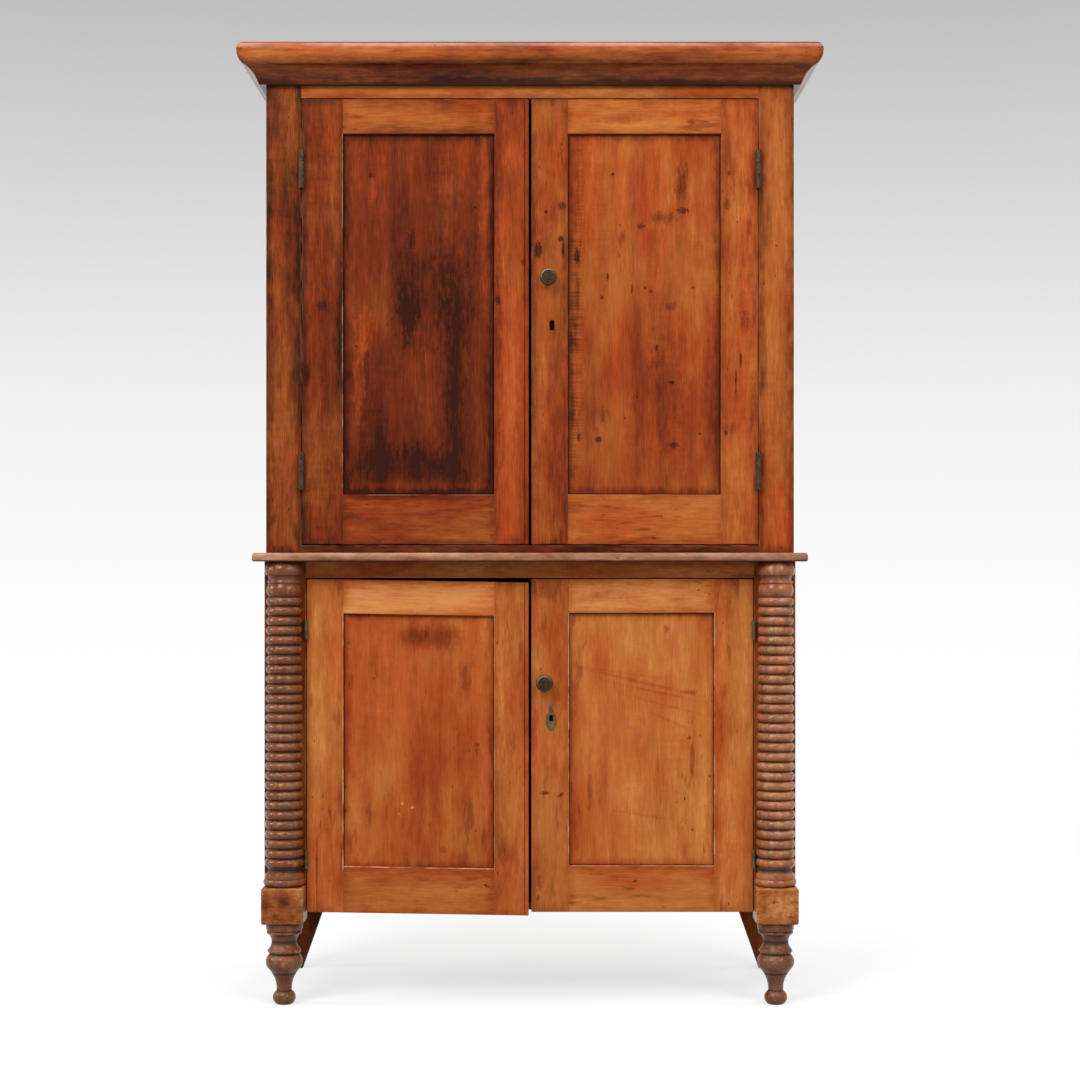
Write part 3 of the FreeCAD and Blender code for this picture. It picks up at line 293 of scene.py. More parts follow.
@dataclass(frozen=True)
class WoodFinish:
    """Old wood under worn varnish, or bare, drawn along each board's own grain."""

    name: str
    shades: tuple[Colour, ...] = (
        (0.036, 0.008, 0.004),
        (0.150, 0.024, 0.007),
        (0.325, 0.055, 0.012),
        (0.480, 0.112, 0.025),
        (0.670, 0.225, 0.064),
    )
    golden: tuple[Colour, ...] = (
        (0.040, 0.012, 0.005),
        (0.160, 0.037, 0.009),
        (0.340, 0.086, 0.018),
        (0.490, 0.160, 0.036),
        (0.680, 0.290, 0.090),
    )
    pale: Colour = (0.56, 0.33, 0.14)
    grime: Colour = (0.030, 0.012, 0.007)
    gloss: float = 0.28
    specular: float = 0.05
    fibre: float = 0.34
    streak: float = 0.50
    mottle: float = 0.44
    patch: float = 0.30
    curl: float = 0.16
    specks: float = 0.8
    stains: float = 0.60
    seam: float = 0.0
    flake: float = 0.0
    edge_grime: float = 0.22
    worn: float = 1.0
    polish: float = 0.0
    small_mark: float = 0.030
    crisp_rim: Point = (1.15, 0.55)
    soft_rim: Point = (1.5, 0.2)
    raggedness: float = 3.0
    marks: tuple[Mark, ...] = ()
    chatter: tuple[Mark, ...] = ()

    def material(self) -> bpy.types.Material:
        """Return the finish as a material that reads the boards' attributes."""
        material, shader = new_shader(self.name)
        at = shader.attribute("grain")
        tone = shader.attribute("tone")
        light, smoke, warm = (shader.part(tone, axis) for axis in "XYZ")
        gate = shader.noise(at, (3.5, 6, 6), 2.0)
        fibres = shader.noise(at, (22, 420, 420), 3.0, 0.6) - 0.5
        streaks = shader.noise(at, (2.2, 30, 30), 6.0, 0.62) - 0.5
        mottle = shader.noise(at, (24, 80, 80), 7.0, 0.68) - 0.5
        clouds = shader.noise(at, (5, 13, 13), 6.0, 0.6)
        smoke_and_low_shade = shader.noise(at, (1.4, 12, 12), 5.0, 0.6).rise(0.44, 0.66)
        smoked = clouds.rise(0.45, 0.68) * 0.6 + smoke_and_low_shade * 0.6
        curled = shader.noise(at, (2.2, 14, 14), 2.0).rise(0.46, 0.66)
        curl = (shader.noise(at, (110, 11, 11), 2.0) - 0.5) * curled
        scratches = shader.noise(shader.turned(at, 0.06, "Z"), (2.5, 420, 420), 1.0).rise(0.69, 0.74)
        lines = scratches * gate.rise(0.58, 0.40)
        value = light + fibres * self.fibre + streaks * self.streak + mottle * self.mottle + curl * self.curl
        patches = shader.noise(at, (4, 9, 9), 5.0, 0.55)
        value = value + (patches - 0.5) * self.patch
        value = value - smoked * smoke + lines * 0.14
        gap = self._gap(shader)
        ragged = gap + (shader.noise(at, (30, 60, 60), 3.0) - 0.5) * 0.03
        value = value - (1.0 - ragged.rise(0.0, 0.022)) * self.edge_grime
        value = value - (1.0 - gap.rise(0.0004, 0.0028)) * self.seam
        if self.marks:
            value = value - self._marked(shader)
        for band in self.chatter:
            value = value + self._chattered(shader, band)
        places = [index / (len(self.shades) - 1) for index in range(len(self.shades))]
        hue = (patches + warm).rise(0.38, 0.62)
        reds, golds = (shader.ramp(value, list(zip(places, row))) for row in (self.shades, self.golden))
        colour = shader.blend(hue, reds, golds)
        stained = shader.noise(at, (9, 42, 42), 6.0, 0.6).rise(0.56, 0.67) * gate.rise(0.44, 0.56)
        colour = shader.blend(stained * self.stains, colour, self.shades[1])
        dents = shader.noise(at, (60, 140, 140), 1.0).rise(0.725, 0.78) * gate.rise(0.46, 0.60)
        colour = shader.blend(dents * self.specks, colour, self.grime)
        chips = shader.noise(at, (28, 60, 60), 4.0).rise(0.42, 0.62)
        scales = shader.noise(at, (75, 110, 110), 5.0, 0.65).rise(0.54, 0.62)
        flakes = scales * (1.0 - ragged.rise(-0.004, 0.012))
        rubbed = (shader.attribute("worn", "Fac") * chips * self.worn).most(flakes * self.flake)
        colour = shader.blend(rubbed, colour, self.pale)
        rough = (clouds - 0.5) * 0.2 + fibres * 0.1 + dents * 0.2 + rubbed * 0.2 + self.gloss
        height = fibres * 0.5 - dents * 2.0 + lines * 0.3 + mottle * 0.5
        inputs = {"Base_Color": colour, "Roughness": rough, "Normal": shader.bump(height, 0.0006, 0.5)}
        if self.polish:
            polished = shader.attribute("polish", "Fac") * clouds.rise(0.30, 0.60)
            inputs.update(Coat_Weight=polished * self.polish, Coat_Roughness=0.2)
        shader.surface(**inputs, Specular_IOR_Level=self.specular)
        return material

    def _marked(self, shader: Shader) -> Value:
        """Return how much the marks darken the wood, their rims ragged."""
        spot = shader.place()
        coarse = shader.noise(spot, (110, 110, 45), 5.0, 0.7) - 0.5
        fine = shader.noise(spot, (380, 380, 190), 4.0, 0.7) - 0.5
        total: Number = 0.0
        for mark in self.marks:
            small = max(mark.wide, mark.tall) < self.small_mark
            noise, rim = (fine, self.crisp_rim) if small else (coarse, self.soft_rim)
            away = shader.away(spot, mark) + noise * (self.raggedness * mark.ragged)
            total = away.rise(*rim) * mark.depth + total
        return total

    @staticmethod
    def _chattered(shader: Shader, band: Mark) -> Value:
        """Return the fine cross ridges that a blunt plane left in a band of the board."""
        spot = shader.place()
        ridges = shader.noise(spot, (16, 16, 330), 2.0) - 0.5
        rim = (shader.noise(spot, (90, 90, 30), 3.0) - 0.5) * band.ragged
        return ridges * (shader.away(spot, band) + rim).rise(1.2, 0.7) * band.depth

    @staticmethod
    def _gap(shader: Shader) -> Value:
        """Return the distance to a board's nearest edge."""
        low, high = shader.attribute("low"), shader.attribute("high")
        gap = shader.part(low, "X").least(shader.part(high, "X"))
        return gap.least(shader.part(low, "Y")).least(shader.part(high, "Y"))


@dataclass(frozen=True)
class TurnedFinish:
    """Dark varnish on turned wood, rubbed on the crests and dusty, with painted shade in the grooves and on
    the faces that look down.
    """

    name: str
    # The dark colour is painted shade, laid in the grooves and on the faces that look down.
    dark: Colour = (0.018, 0.007, 0.004)
    body: Colour = (0.130, 0.034, 0.011)
    rubbed: Colour = (0.265, 0.078, 0.024)
    bare: Colour = (0.440, 0.180, 0.060)
    dust: Colour = (0.280, 0.180, 0.112)
    shade: float = 0.45
    dusty: float = 0.12
    chips: float = 0.2
    relief: float = 0.0003
    rough: float = 0.17
    specular: float = 0.25

    def material(self) -> bpy.types.Material:
        """Return the finish as a material."""
        material, shader = new_shader(self.name)
        at = shader.attribute("grain")
        crest = shader.attribute("crest", "Fac")
        up = shader.attribute("up", "Fac")
        streaks = shader.noise(at, (45, 90, 90), 5.0, 0.6)
        clouds = shader.noise(at, (14, 22, 22), 5.0, 0.6)
        mixed = streaks.rise(0.25, 0.75) * 0.40 + clouds.rise(0.30, 0.70) * 0.60
        colour = shader.blend(mixed, self.body, self.rubbed)
        bare = shader.noise(at, (26, 45, 45), 5.0, 0.65).rise(0.56, 0.68) * crest.rise(0.35, 0.9)
        colour = shader.blend(bare * 0.55, colour, self.bare)
        # Painted shade: the grooves and the faces that look down are blended towards the dark colour.
        groove = 1.0 - crest.rise(0.0, 0.46)
        colour = shader.blend(up.rise(0.2, -0.8) * self.shade, colour, self.dark)
        colour = shader.blend(groove * 0.92, colour, self.dark)
        dust = shader.noise(at, (30, 55, 55), 5.0, 0.65).rise(0.48, 0.66)
        settled = (up.rise(-0.1, 0.7) * 0.4 + self.dusty) * (1.0 - groove * 0.7)
        colour = shader.blend(dust * settled, colour, self.dust)
        chips = shader.noise(at, (150, 150, 150), 2.0).rise(0.67, 0.74) * crest.rise(0.3, 0.8)
        colour = shader.blend(chips * self.chips, colour, self.dust)
        rough = (clouds - 0.5) * 0.2 + groove * 0.3 + dust * 0.15 + self.rough
        height = (streaks - 0.5) * 0.6 + (clouds - 0.5) * 0.5 - chips * 0.8
        bump = shader.bump(height, self.relief, 0.6)
        shader.surface(Base_Color=colour, Roughness=rough, Normal=bump, Specular_IOR_Level=self.specular)
        return material


@dataclass(frozen=True)
class MetalFinish:
    """Old metal with a mottled skin."""

    name: str
    dark: Colour
    light: Colour
    stain: Colour
    shine: float
    rough: float
    rubbed: Colour = (0.0, 0.0, 0.0)
    specular: float = 0.12

    def material(self) -> bpy.types.Material:
        """Return the finish as a material."""
        material, shader = new_shader(self.name)
        at = shader.place()
        mottle = shader.noise(at, (160, 160, 160), 5.0, 0.5)
        stained = shader.noise(at, (55, 55, 55), 3.0).rise(0.50, 0.66)
        colour = shader.blend(mottle.rise(0.35, 0.66), self.dark, self.light)
        colour = shader.blend(stained * 0.7, colour, self.stain)
        # The rubbed colour goes where the crest attribute is set; on the knob's rim it is rubbed metal and a
        # painted highlight.
        if any(self.rubbed):
            colour = shader.blend(shader.attribute("crest", "Fac") * 0.9, colour, self.rubbed)
        metal = self.shine - stained * 0.5 * self.shine
        rough = (mottle - 0.5) * 0.4 + stained * 0.15 + self.rough
        inputs = {"Base_Color": colour, "Metallic": metal, "Roughness": rough}
        bump = shader.bump(mottle, 0.0004, 0.6)
        shader.surface(**inputs, Normal=bump, Specular_IOR_Level=self.specular)
        return material


@dataclass(frozen=True)
class Tone:
    """How one board looks: its lightness, smoke stains and hue, and how lightness changes along it."""

    light: float = 0.55
    smoke: float = 0.12
    warm: float = 0.0
    along: float = 0.0
    across: float = 0.0


@dataclass
class Workshop:
    """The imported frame, the finishes and the making of pieces."""

    frame: dict
    uneven: float = 0.09
    grain_shift: float = 40.0
    rng: random.Random = field(default_factory=lambda: random.Random(1840))

    def __post_init__(self) -> None:
        """Look up the bodies and make the materials."""
        groups = self.frame["record"]["behaviour"]["bodies"]
        self.body_of = {node: body for body, nodes in groups.items() for node in nodes}
        self.varnish = WoodFinish("worn_varnish").material()
        self.block_varnish = WoodFinish(
            "block_varnish",
            shades=(
                (0.07, 0.018, 0.007),
                (0.16, 0.042, 0.013),
                (0.28, 0.074, 0.018),
                (0.39, 0.12, 0.030),
                (0.53, 0.22, 0.075),
            ),
            golden=(
                (0.07, 0.020, 0.008),
                (0.16, 0.048, 0.015),
                (0.28, 0.086, 0.022),
                (0.39, 0.142, 0.038),
                (0.53, 0.255, 0.09),
            ),
            pale=(0.58, 0.40, 0.20),
            fibre=0.15,
            streak=1.3,
            mottle=0.9,
            patch=0.7,
            stains=1.0,
            edge_grime=0.06,
            flake=0.85,
        ).material()
        self.bare = WoodFinish(
            "bare_wood",
            shades=(
                (0.10, 0.05, 0.025),
                (0.21, 0.115, 0.055),
                (0.33, 0.19, 0.092),
                (0.43, 0.26, 0.135),
                (0.54, 0.35, 0.2),
            ),
            golden=(
                (0.11, 0.06, 0.03),
                (0.22, 0.13, 0.066),
                (0.34, 0.21, 0.11),
                (0.44, 0.28, 0.15),
                (0.55, 0.37, 0.22),
            ),
            pale=(0.5, 0.34, 0.2),
            gloss=0.72,
            seam=0.30,
            worn=0.3,
        ).material()
        self.cornice_varnish = WoodFinish(
            "cornice_varnish",
            gloss=0.17,
            specular=0.10,
            streak=0.9,
            mottle=0.6,
            stains=0.9,
            polish=1.0,
        ).material()
        self.waist_varnish = WoodFinish(
            "waist_varnish",
            shades=(
                (0.10, 0.035, 0.018),
                (0.22, 0.085, 0.042),
                (0.38, 0.17, 0.095),
                (0.52, 0.28, 0.17),
                (0.66, 0.43, 0.30),
            ),
            golden=(
                (0.10, 0.040, 0.020),
                (0.22, 0.095, 0.050),
                (0.38, 0.19, 0.115),
                (0.52, 0.30, 0.20),
                (0.66, 0.46, 0.34),
            ),
            gloss=0.28,
            specular=0.10,
            streak=1.0,
            mottle=0.9,
            stains=0.9,
        ).material()
        self.turned = {
            "left": TurnedFinish("left_turned_varnish").material(),
            "right": TurnedFinish(
                "right_turned_varnish",
                body=(0.180, 0.050, 0.019),
                rubbed=(0.490, 0.166, 0.060),
                bare=(0.570, 0.260, 0.090),
                dust=(0.400, 0.275, 0.185),
                dusty=0.22,
                chips=0.4,
            ).material(),
            "foot": TurnedFinish(
                "foot_varnish",
                dark=(0.020, 0.011, 0.006),
                body=(0.095, 0.030, 0.012),
                rubbed=(0.270, 0.078, 0.026),
                bare=(0.560, 0.260, 0.080),
                dust=(0.190, 0.140, 0.085),
                shade=0.15,
                dusty=0.30,
                chips=0.7,
                relief=0.0010,
                rough=0.26,
            ).material(),
        }
        self.iron = MetalFinish(
            "aged_iron",
            dark=(0.028, 0.017, 0.010),
            light=(0.088, 0.056, 0.034),
            stain=(0.070, 0.031, 0.014),
            shine=0.4,
            rough=0.5,
        ).material()
        self.bronze = MetalFinish(
            "dark_bronze",
            dark=(0.030, 0.016, 0.008),
            light=(0.056, 0.031, 0.016),
            stain=(0.040, 0.024, 0.013),
            shine=0.3,
            rough=0.34,
            # Paler colour of the knob's rim: rubbed metal, and a painted highlight.
            rubbed=(0.240, 0.170, 0.115),
        ).material()
        self.pale_iron = MetalFinish(
            "pale_iron",
            dark=(0.070, 0.049, 0.027),
            light=(0.150, 0.108, 0.064),
            stain=(0.090, 0.058, 0.030),
            shine=0.3,
            rough=0.5,
        ).material()
        self.brass = MetalFinish(
            "dull_brass",
            dark=(0.080, 0.054, 0.024),
            light=(0.165, 0.116, 0.056),
            stain=(0.100, 0.066, 0.030),
            shine=0.25,
            rough=0.5,
        ).material()

    def copy_of(self, node: str) -> bmesh.types.BMesh:
        """Return a merged copy of a node's mesh, with flat faces made whole."""
        shape = bmesh.new()
        shape.from_mesh(self.frame["nodes"][node].data)
        bmesh.ops.remove_doubles(shape, verts=shape.verts, dist=WELD)
        bmesh.ops.dissolve_limit(shape, angle_limit=FLAT_ANGLE, verts=shape.verts, edges=shape.edges)
        for face in shape.faces:
            face.smooth = False
        return shape

    def ease(
        self,
        shape: bmesh.types.BMesh,
        width: float,
        slack: Triple = (WELD, WELD, WELD),
        keep: Callable[[Vector], bool] = lambda middle: True,
        worn: float = 0.0,
        segments: int = 3,
    ) -> None:
        """Round the outer edges of a board.

        Args:
            shape: The board.
            width: How much is taken off.
            slack: How far an edge may lie from the board's outer planes.
            keep: Whether the edge with this middle is rounded.
            worn: How worn the rounding is.
            segments: The number of steps in the rounding.
        """
        layer = shape.faces.layers.float.get("worn") or shape.faces.layers.float.new("worn")
        low, high = corners(shape.verts)
        chosen = []
        for edge in shape.edges:
            if len(edge.link_faces) != 2 or edge.calc_face_angle_signed(0.0) < CONVEX_ANGLE:
                continue
            first, second = (vertex.co for vertex in edge.verts)
            planes = 0
            for axis in range(3):
                for plane in (low[axis], high[axis]):
                    if max(abs(first[axis] - plane), abs(second[axis] - plane)) <= slack[axis]:
                        planes += 1
                        break
            if planes >= 2 and keep((first + second) / 2):
                chosen.append(edge)
        made = bmesh.ops.bevel(
            shape,
            geom=chosen,
            offset=width,
            offset_type="OFFSET",
            affect="EDGES",
            segments=segments,
            profile=0.5,
            material=-1,
            clamp_overlap=True,
        )
        for face in made["faces"]:
            face[layer] = worn
            face.smooth = True

    def grain_of(
        self,
        shape: bmesh.types.BMesh,
        grain: Grain,
        tone: Tone,
        inset: float = 0.0,
        span: tuple[Vector, Vector] = (),
        short: float = 1.0,
    ) -> None:
        """Store the grain, tone and edges of each separate board of a shape for its finish.

        Args:
            shape: The board or boards.
            grain: The way that their grain runs.
            tone: How they look.
            inset: How much of their edges is hidden in grooves.
            span: The corners that count as their edges, if not their own.
            short: How much shorter than usual the grain's figure is.
        """
        names = ("grain", "tone", "low", "high")
        layers = {name: shape.verts.layers.float_vector.new(name) for name in names}
        if not shape.faces.layers.float.get("worn"):
            shape.faces.layers.float.new("worn")
        along, across, deep = grain.value
        shift = Vector([self.rng.uniform(0, self.grain_shift) for _ in range(3)])
        for number, board in enumerate(islands(shape)):
            low, high = span or corners(board)
            length, width = high[along] - low[along], high[across] - low[across]
            light = tone.light + self.uneven * math.sin(number * number)
            for vertex in board:
                spot = vertex.co
                moved = Vector((spot[along] * short, spot[across], spot[deep])) + shift
                vertex[layers["grain"]] = moved + Vector((number, number, 0))
                past, left = spot - low, high - spot
                up, aside = past[along] / length - 0.5, past[across] / width - 0.5
                lightness = light + tone.along * up + tone.across * aside
                vertex[layers["tone"]] = (lightness, tone.smoke, tone.warm)
                vertex[layers["low"]] = (past[along] - inset, past[across] - inset, 0)
                vertex[layers["high"]] = (left[along] - inset, left[across] - inset, 0)

    def piece(
        self,
        name: str,
        shape: bmesh.types.BMesh,
        materials: Sequence[bpy.types.Material],
        body: str,
        slot: Slot,
        nodes: Iterable[str] = (),
        curved: bool = False,
    ) -> None:
        """Turn a shape into a piece that rides on a body.

        Args:
            name: The piece's name.
            shape: Its shape, which is used up.
            materials: Its materials, in the order of its faces' numbers.
            body: The body that it rides on.
            slot: The record's slot for its finish; not used.
            nodes: The nodes that it stands for.
            curved: Whether all its faces are smooth, up to sharp edges.
        """
        mesh = bpy.data.meshes.new(name)
        shape.to_mesh(mesh)
        shape.free()
        for material in materials:
            mesh.materials.append(material)
        if curved:
            mesh.shade_smooth()
            mesh.set_sharp_from_angle(angle=SHARP_ANGLE)
        item = bpy.data.objects.new(name, mesh)
        bpy.context.scene.collection.objects.link(item)
        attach(item, body)
        if nodes:
            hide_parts(*nodes)
        LOG.info("%s: %d faces on %s", name, len(mesh.polygons), body)


def corners(vertices: Iterable[bmesh.types.BMVert]) -> tuple[Vector, Vector]:
    """Return the lowest and highest corners of some vertices."""
    spots = [vertex.co for vertex in vertices]
    low = Vector([min(spot[axis] for spot in spots) for axis in range(3)])
    high = Vector([max(spot[axis] for spot in spots) for axis in range(3)])
    return low, high


def islands(shape: bmesh.types.BMesh) -> list[list[bmesh.types.BMVert]]:
    """Return the vertices of each separate part of a shape, in the shape's own order."""
    shape.verts.ensure_lookup_table()
    shape.verts.index_update()
    met: set[int] = set()
    parts = []
    for first in shape.verts:
        if first.index in met:
            continue
        met.add(first.index)
        queue, found = [first], []
        while queue:
            vertex = queue.pop()
            found.append(vertex)
            for edge in vertex.link_edges:
                other = edge.other_vert(vertex)
                if other.index not in met:
                    met.add(other.index)
                    queue.append(other)
        parts.append(found)
    return parts


def bare_faces(shape: bmesh.types.BMesh, test: Callable[[bmesh.types.BMFace], bool]) -> None:
    """Give the faces that pass a test the second material."""
    shape.normal_update()
    for face in shape.faces:
        if test(face):
            face.material_index = 1


def split(shape: bmesh.types.BMesh, place: Triple, normal: Triple, **cleared: bool) -> None:
    """Cut a shape along a plane, and close it where one side is cleared away."""
    everything = [*shape.verts, *shape.edges, *shape.faces]
    bmesh.ops.bisect_plane(shape, geom=everything, plane_co=place, plane_no=normal, **cleared)
    if cleared:
        bmesh.ops.holes_fill(shape, edges=[edge for edge in shape.edges if edge.is_boundary])


def spun(profile: Sequence[Point], steps: int, crests: Sequence[float]) -> bmesh.types.BMesh:
    """Turn a profile about the Z axis.

    Args:
        profile: Radii and heights, from the bottom up.
        steps: The number of steps in a full turn.
        crests: How proud each point of the profile is, from 0 to 1.

    Returns:
        The closed shape, its crests stored for the finish.
    """
    shape = bmesh.new()
    layer = shape.verts.layers.float.new("crest")
    line = [shape.verts.new((radius, 0, height)) for radius, height in profile]
    for vertex, crest in zip(line, crests):
        vertex[layer] = crest
    edges = [shape.edges.new(pair) for pair in zip(line, line[1:])]
    bmesh.ops.spin(
        shape,
        geom=line + edges,
        cent=(0, 0, 0),
        axis=(0, 0, 1),
        angle=math.tau,
        steps=steps,
        use_merge=True,
        use_duplicate=False,
    )
    bmesh.ops.remove_doubles(shape, verts=shape.verts, dist=WELD)
    rims = [edge for edge in shape.edges if edge.is_boundary]
    if rims:
        bmesh.ops.holes_fill(shape, edges=rims)
    bmesh.ops.recalc_face_normals(shape, faces=shape.faces)
    return shape


def arc(start: Point, middle: Point, end: Point, steps: int) -> list[Point]:
    """Return points on the arc through three points, without its start."""
    ax, ay, bx, by, cx, cy = *start, *middle, *end
    span = 2 * (ax * (by - cy) + bx * (cy - ay) + cx * (ay - by))
    squares = [x * x + y * y for x, y in (start, middle, end)]
    x0 = (squares[0] * (by - cy) + squares[1] * (cy - ay) + squares[2] * (ay - by)) / span
    y0 = (squares[0] * (cx - bx) + squares[1] * (ax - cx) + squares[2] * (bx - ax)) / span
    radius = math.hypot(ax - x0, ay - y0)
    first, mid, last = (math.atan2(y - y0, x - x0) for x, y in (start, middle, end))
    turn = (last - first) % math.tau
    if (mid - first) % math.tau > turn:
        turn -= math.tau
    angles = [first + turn * step / steps for step in range(1, steps + 1)]
    return [(x0 + radius * math.cos(angle), y0 + radius * math.sin(angle)) for angle in angles]


def profile_of(rows: Sequence[tuple[float, ...]], wide: float, tall: float, steps: int) -> list[Point]:
    """Return a profile that starts at zero.

    Args:
        rows: Shares of the sizes: two numbers end a line, four are an arc's middle and end.
        wide: The size across.
        tall: The size up.
        steps: The number of steps in an arc.

    Returns:
        The profile's points.
    """
    points = [(0.0, 0.0)]
    for row in rows:
        scaled = [share * side for share, side in zip(row, (wide, tall) * 2)]
        if len(row) == 2:
            points.append((scaled[0], scaled[1]))
        else:
            points += arc(points[-1], (scaled[0], scaled[1]), (scaled[2], scaled[3]), steps)
    return points


@dataclass
class Cases:
    """The upper and lower cases with the cornice and the waist board."""

    shop: Workshop
    ease: float = 0.0012
    anywhere: float = 2.0
    edge_wear: float = 0.35
    bare_wear: float = 0.2
    bare_tone: Tone = Tone(0.5, 0.16)
    # The next four fields paint light into the mouldings' colour: shade that darkens faces looking down, a
    # darkening of faces looking up against the light from above, and shade low down that fades out at the
    # given share of the height.
    shade: float = 0.24
    dimmed: float = 0.06
    smoke_and_low_shade: float = 0.30
    low_shade_rise: float = 0.45
    polish_from: float = 0.1
    polish_gain: float = 3.0
    arc_steps: int = 10
    cornice_shares: tuple = (
        (0.240, 0),
        (0.285, 0.070),
        (0.430, 0.262, 0.740, 0.450),
        (0.770, 0.452),
        (0.950, 0.590, 1.000, 0.745),
        (0.965, 0.905, 0.790, 1),
        (0, 1),
    )
    tones: dict[str, Tone] = field(
        default_factory=lambda: {
            "upper_left_stile": Tone(0.34, 0.22, 0.02, -0.10),
            "upper_right_stile": Tone(0.61, 0.20, 0.12, 0.05),
            "upper_top_rail": Tone(0.76, 0.20, 0.04),
            "cornice_front": Tone(0.64, 0.24, 0.08),
            "cornice_returns": Tone(0.50, 0.18, -0.02),
            "waist_board": Tone(0.72, 0.16),
            "lower_top_rail": Tone(0.89, 0.16),
            "lower_left_stile": Tone(0.52, 0.16, 0.04),
            "lower_right_stile": Tone(0.62, 0.16, 0.06),
            "upper_left_side": Tone(0.46, 0.18, 0.08),
            "upper_right_side": Tone(0.56, 0.18, 0.10),
            "lower_left_side": Tone(0.54, 0.16, 0.08),
            "lower_right_side": Tone(0.60, 0.16, 0.10),
            "upper_bottom_board": Tone(0.40, 0.20),
            # The rear legs are painted dark as painted shade: they stand back, in the shade under the lower
            # case.
            "rear_legs": Tone(0.18, 0.05),
        }
    )

    def build(self) -> None:
        """Dress every board of the two cases."""
        for level in ("upper", "lower"):
            for side in ("left", "right"):
                self._upright(f"{level}_{side}_side", side)
                self._upright(f"{level}_{side}_stile", side)
            self._rail(f"{level}_top_rail")
            self._bare_board(f"{level}_back_boards", Grain.UPRIGHT)
            self._bare_board(f"{level}_bottom_board", Grain.ACROSS)
        for node in ("upper_shelves", "lower_shelf", "upper_top_board"):
            self._bare_board(node, Grain.ACROSS)
        self._rear_legs()
        self._cornice()
        self._moulding("waist_board", self.shop.copy_of("waist_board"), Grain.ACROSS, self.shop.waist_varnish)

    def _upright(self, node: str, side: str) -> None:
        """Dress a side or a face stile, bare on the inside."""
        shape = self.shop.copy_of(node)
        self.shop.ease(shape, self.ease, worn=self.edge_wear)
        inward = {"left": 1, "right": -1}[side] if node.endswith("side") else 0
        bare_faces(shape, lambda face: max(face.normal.y, inward * face.normal.x) > FACING)
        self.shop.grain_of(shape, Grain.UPRIGHT, self.tones[node])
        self._finish(node, shape, Slot.CASE)

    def _rear_legs(self) -> None:
        """Dress the rear legs: bare where they stand inside the lower case."""
        shape = self.shop.copy_of("rear_legs")
        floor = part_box("lower_bottom_board")[0].z
        split(shape, (0, 0, floor), (0, 0, 1))

        def inside(face: bmesh.types.BMFace) -> bool:
            """Return whether a face looks into the lower case."""
            middle = face.calc_center_median()
            return middle.z > floor and (face.normal.y < -FACING or face.normal.x * middle.x < 0)

        bare_faces(shape, inside)
        self.shop.grain_of(shape, Grain.UPRIGHT, self.tones["rear_legs"])
        self._finish("rear_legs", shape, Slot.CASE)

    def _rail(self, node: str) -> None:
        """Dress a rail of the face."""
        shape = self.shop.copy_of(node)
        self.shop.ease(shape, self.ease, worn=self.edge_wear)
        bare_faces(shape, lambda face: face.normal.y > FACING)
        self.shop.grain_of(shape, Grain.ACROSS, self.tones[node])
        self._finish(node, shape, Slot.CASE)

    def _cornice(self) -> None:
        """Run the cornice round the front and both sides of the upper case, with mitred corners."""
        low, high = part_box("cornice_front")
        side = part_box("upper_right_side")[1].x
        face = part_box("upper_left_stile")[0].y
        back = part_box("cornice_returns")[1].y
        profile = profile_of(self.cornice_shares, high.x - side, high.z - low.z, self.arc_steps)

        def outline(sign: int, y: float, mitred: int) -> list[Triple]:
            """Return the profile as it stands at one end of a run, mitred (1) or square (0)."""
            return [(sign * (side + out), y - out * mitred, low.z + up) for out, up in profile]

        front = bmesh.new()
        self._run(front, [outline(sign, face, 1) for sign in (-1, 1)])
        self._moulding("cornice_front", front, Grain.ACROSS, self.shop.cornice_varnish)
        returns = bmesh.new()
        for sign in (-1, 1):
            self._run(returns, [outline(sign, face, 1), outline(sign, back, 0)])
        self._moulding("cornice_returns", returns, Grain.DEEP, self.shop.cornice_varnish)

    @staticmethod
    def _run(shape: bmesh.types.BMesh, ends: Sequence[Sequence[Triple]]) -> None:
        """Add a closed length of moulding between two outlines."""
        first, second = ([shape.verts.new(spot) for spot in end] for end in ends)
        count = len(first)
        for index in range(count):
            after = (index + 1) % count
            shape.faces.new((first[index], first[after], second[after], second[index]))
        shape.faces.new(first)
        shape.faces.new(second)
        bmesh.ops.recalc_face_normals(shape, faces=shape.faces)

    def _moulding(
        self, node: str, shape: bmesh.types.BMesh, grain: Grain, finish: bpy.types.Material
    ) -> None:
        """Dress a moulded piece with painted shade low down and where it faces down, its colour painted
        darker where it faces up against the light from above, and polished where it faces up.
        """
        shape.normal_update()
        self.shop.grain_of(shape, grain, self.tones[node])
        layer = shape.verts.layers.float_vector["tone"]
        polish = shape.verts.layers.float.new("polish")
        bottom, top = (corner.z for corner in corners(shape.verts))
        for vertex in shape.verts:
            up = vertex.normal.z
            rise = (vertex.co.z - bottom) / (top - bottom)
            # Painted shade where the face looks down and low down; painted darker where it looks up, against
            # the light from above.
            low_shade_share = max(1 - rise / self.low_shade_rise, 0.0)
            vertex[layer].x += self.shade * min(up, 0.0) - self.dimmed * max(up, 0.0) - self.smoke_and_low_shade * low_shade_share
            flat = vertex.co.z > top - WELD
            shine = (up - self.polish_from) * self.polish_gain
            vertex[polish] = 0.0 if flat else min(max(shine, 0.0), 1.0)
        self.shop.piece(f"{node}_wood", shape, (finish,), "case", Slot.CASE, (node,), curved=True)

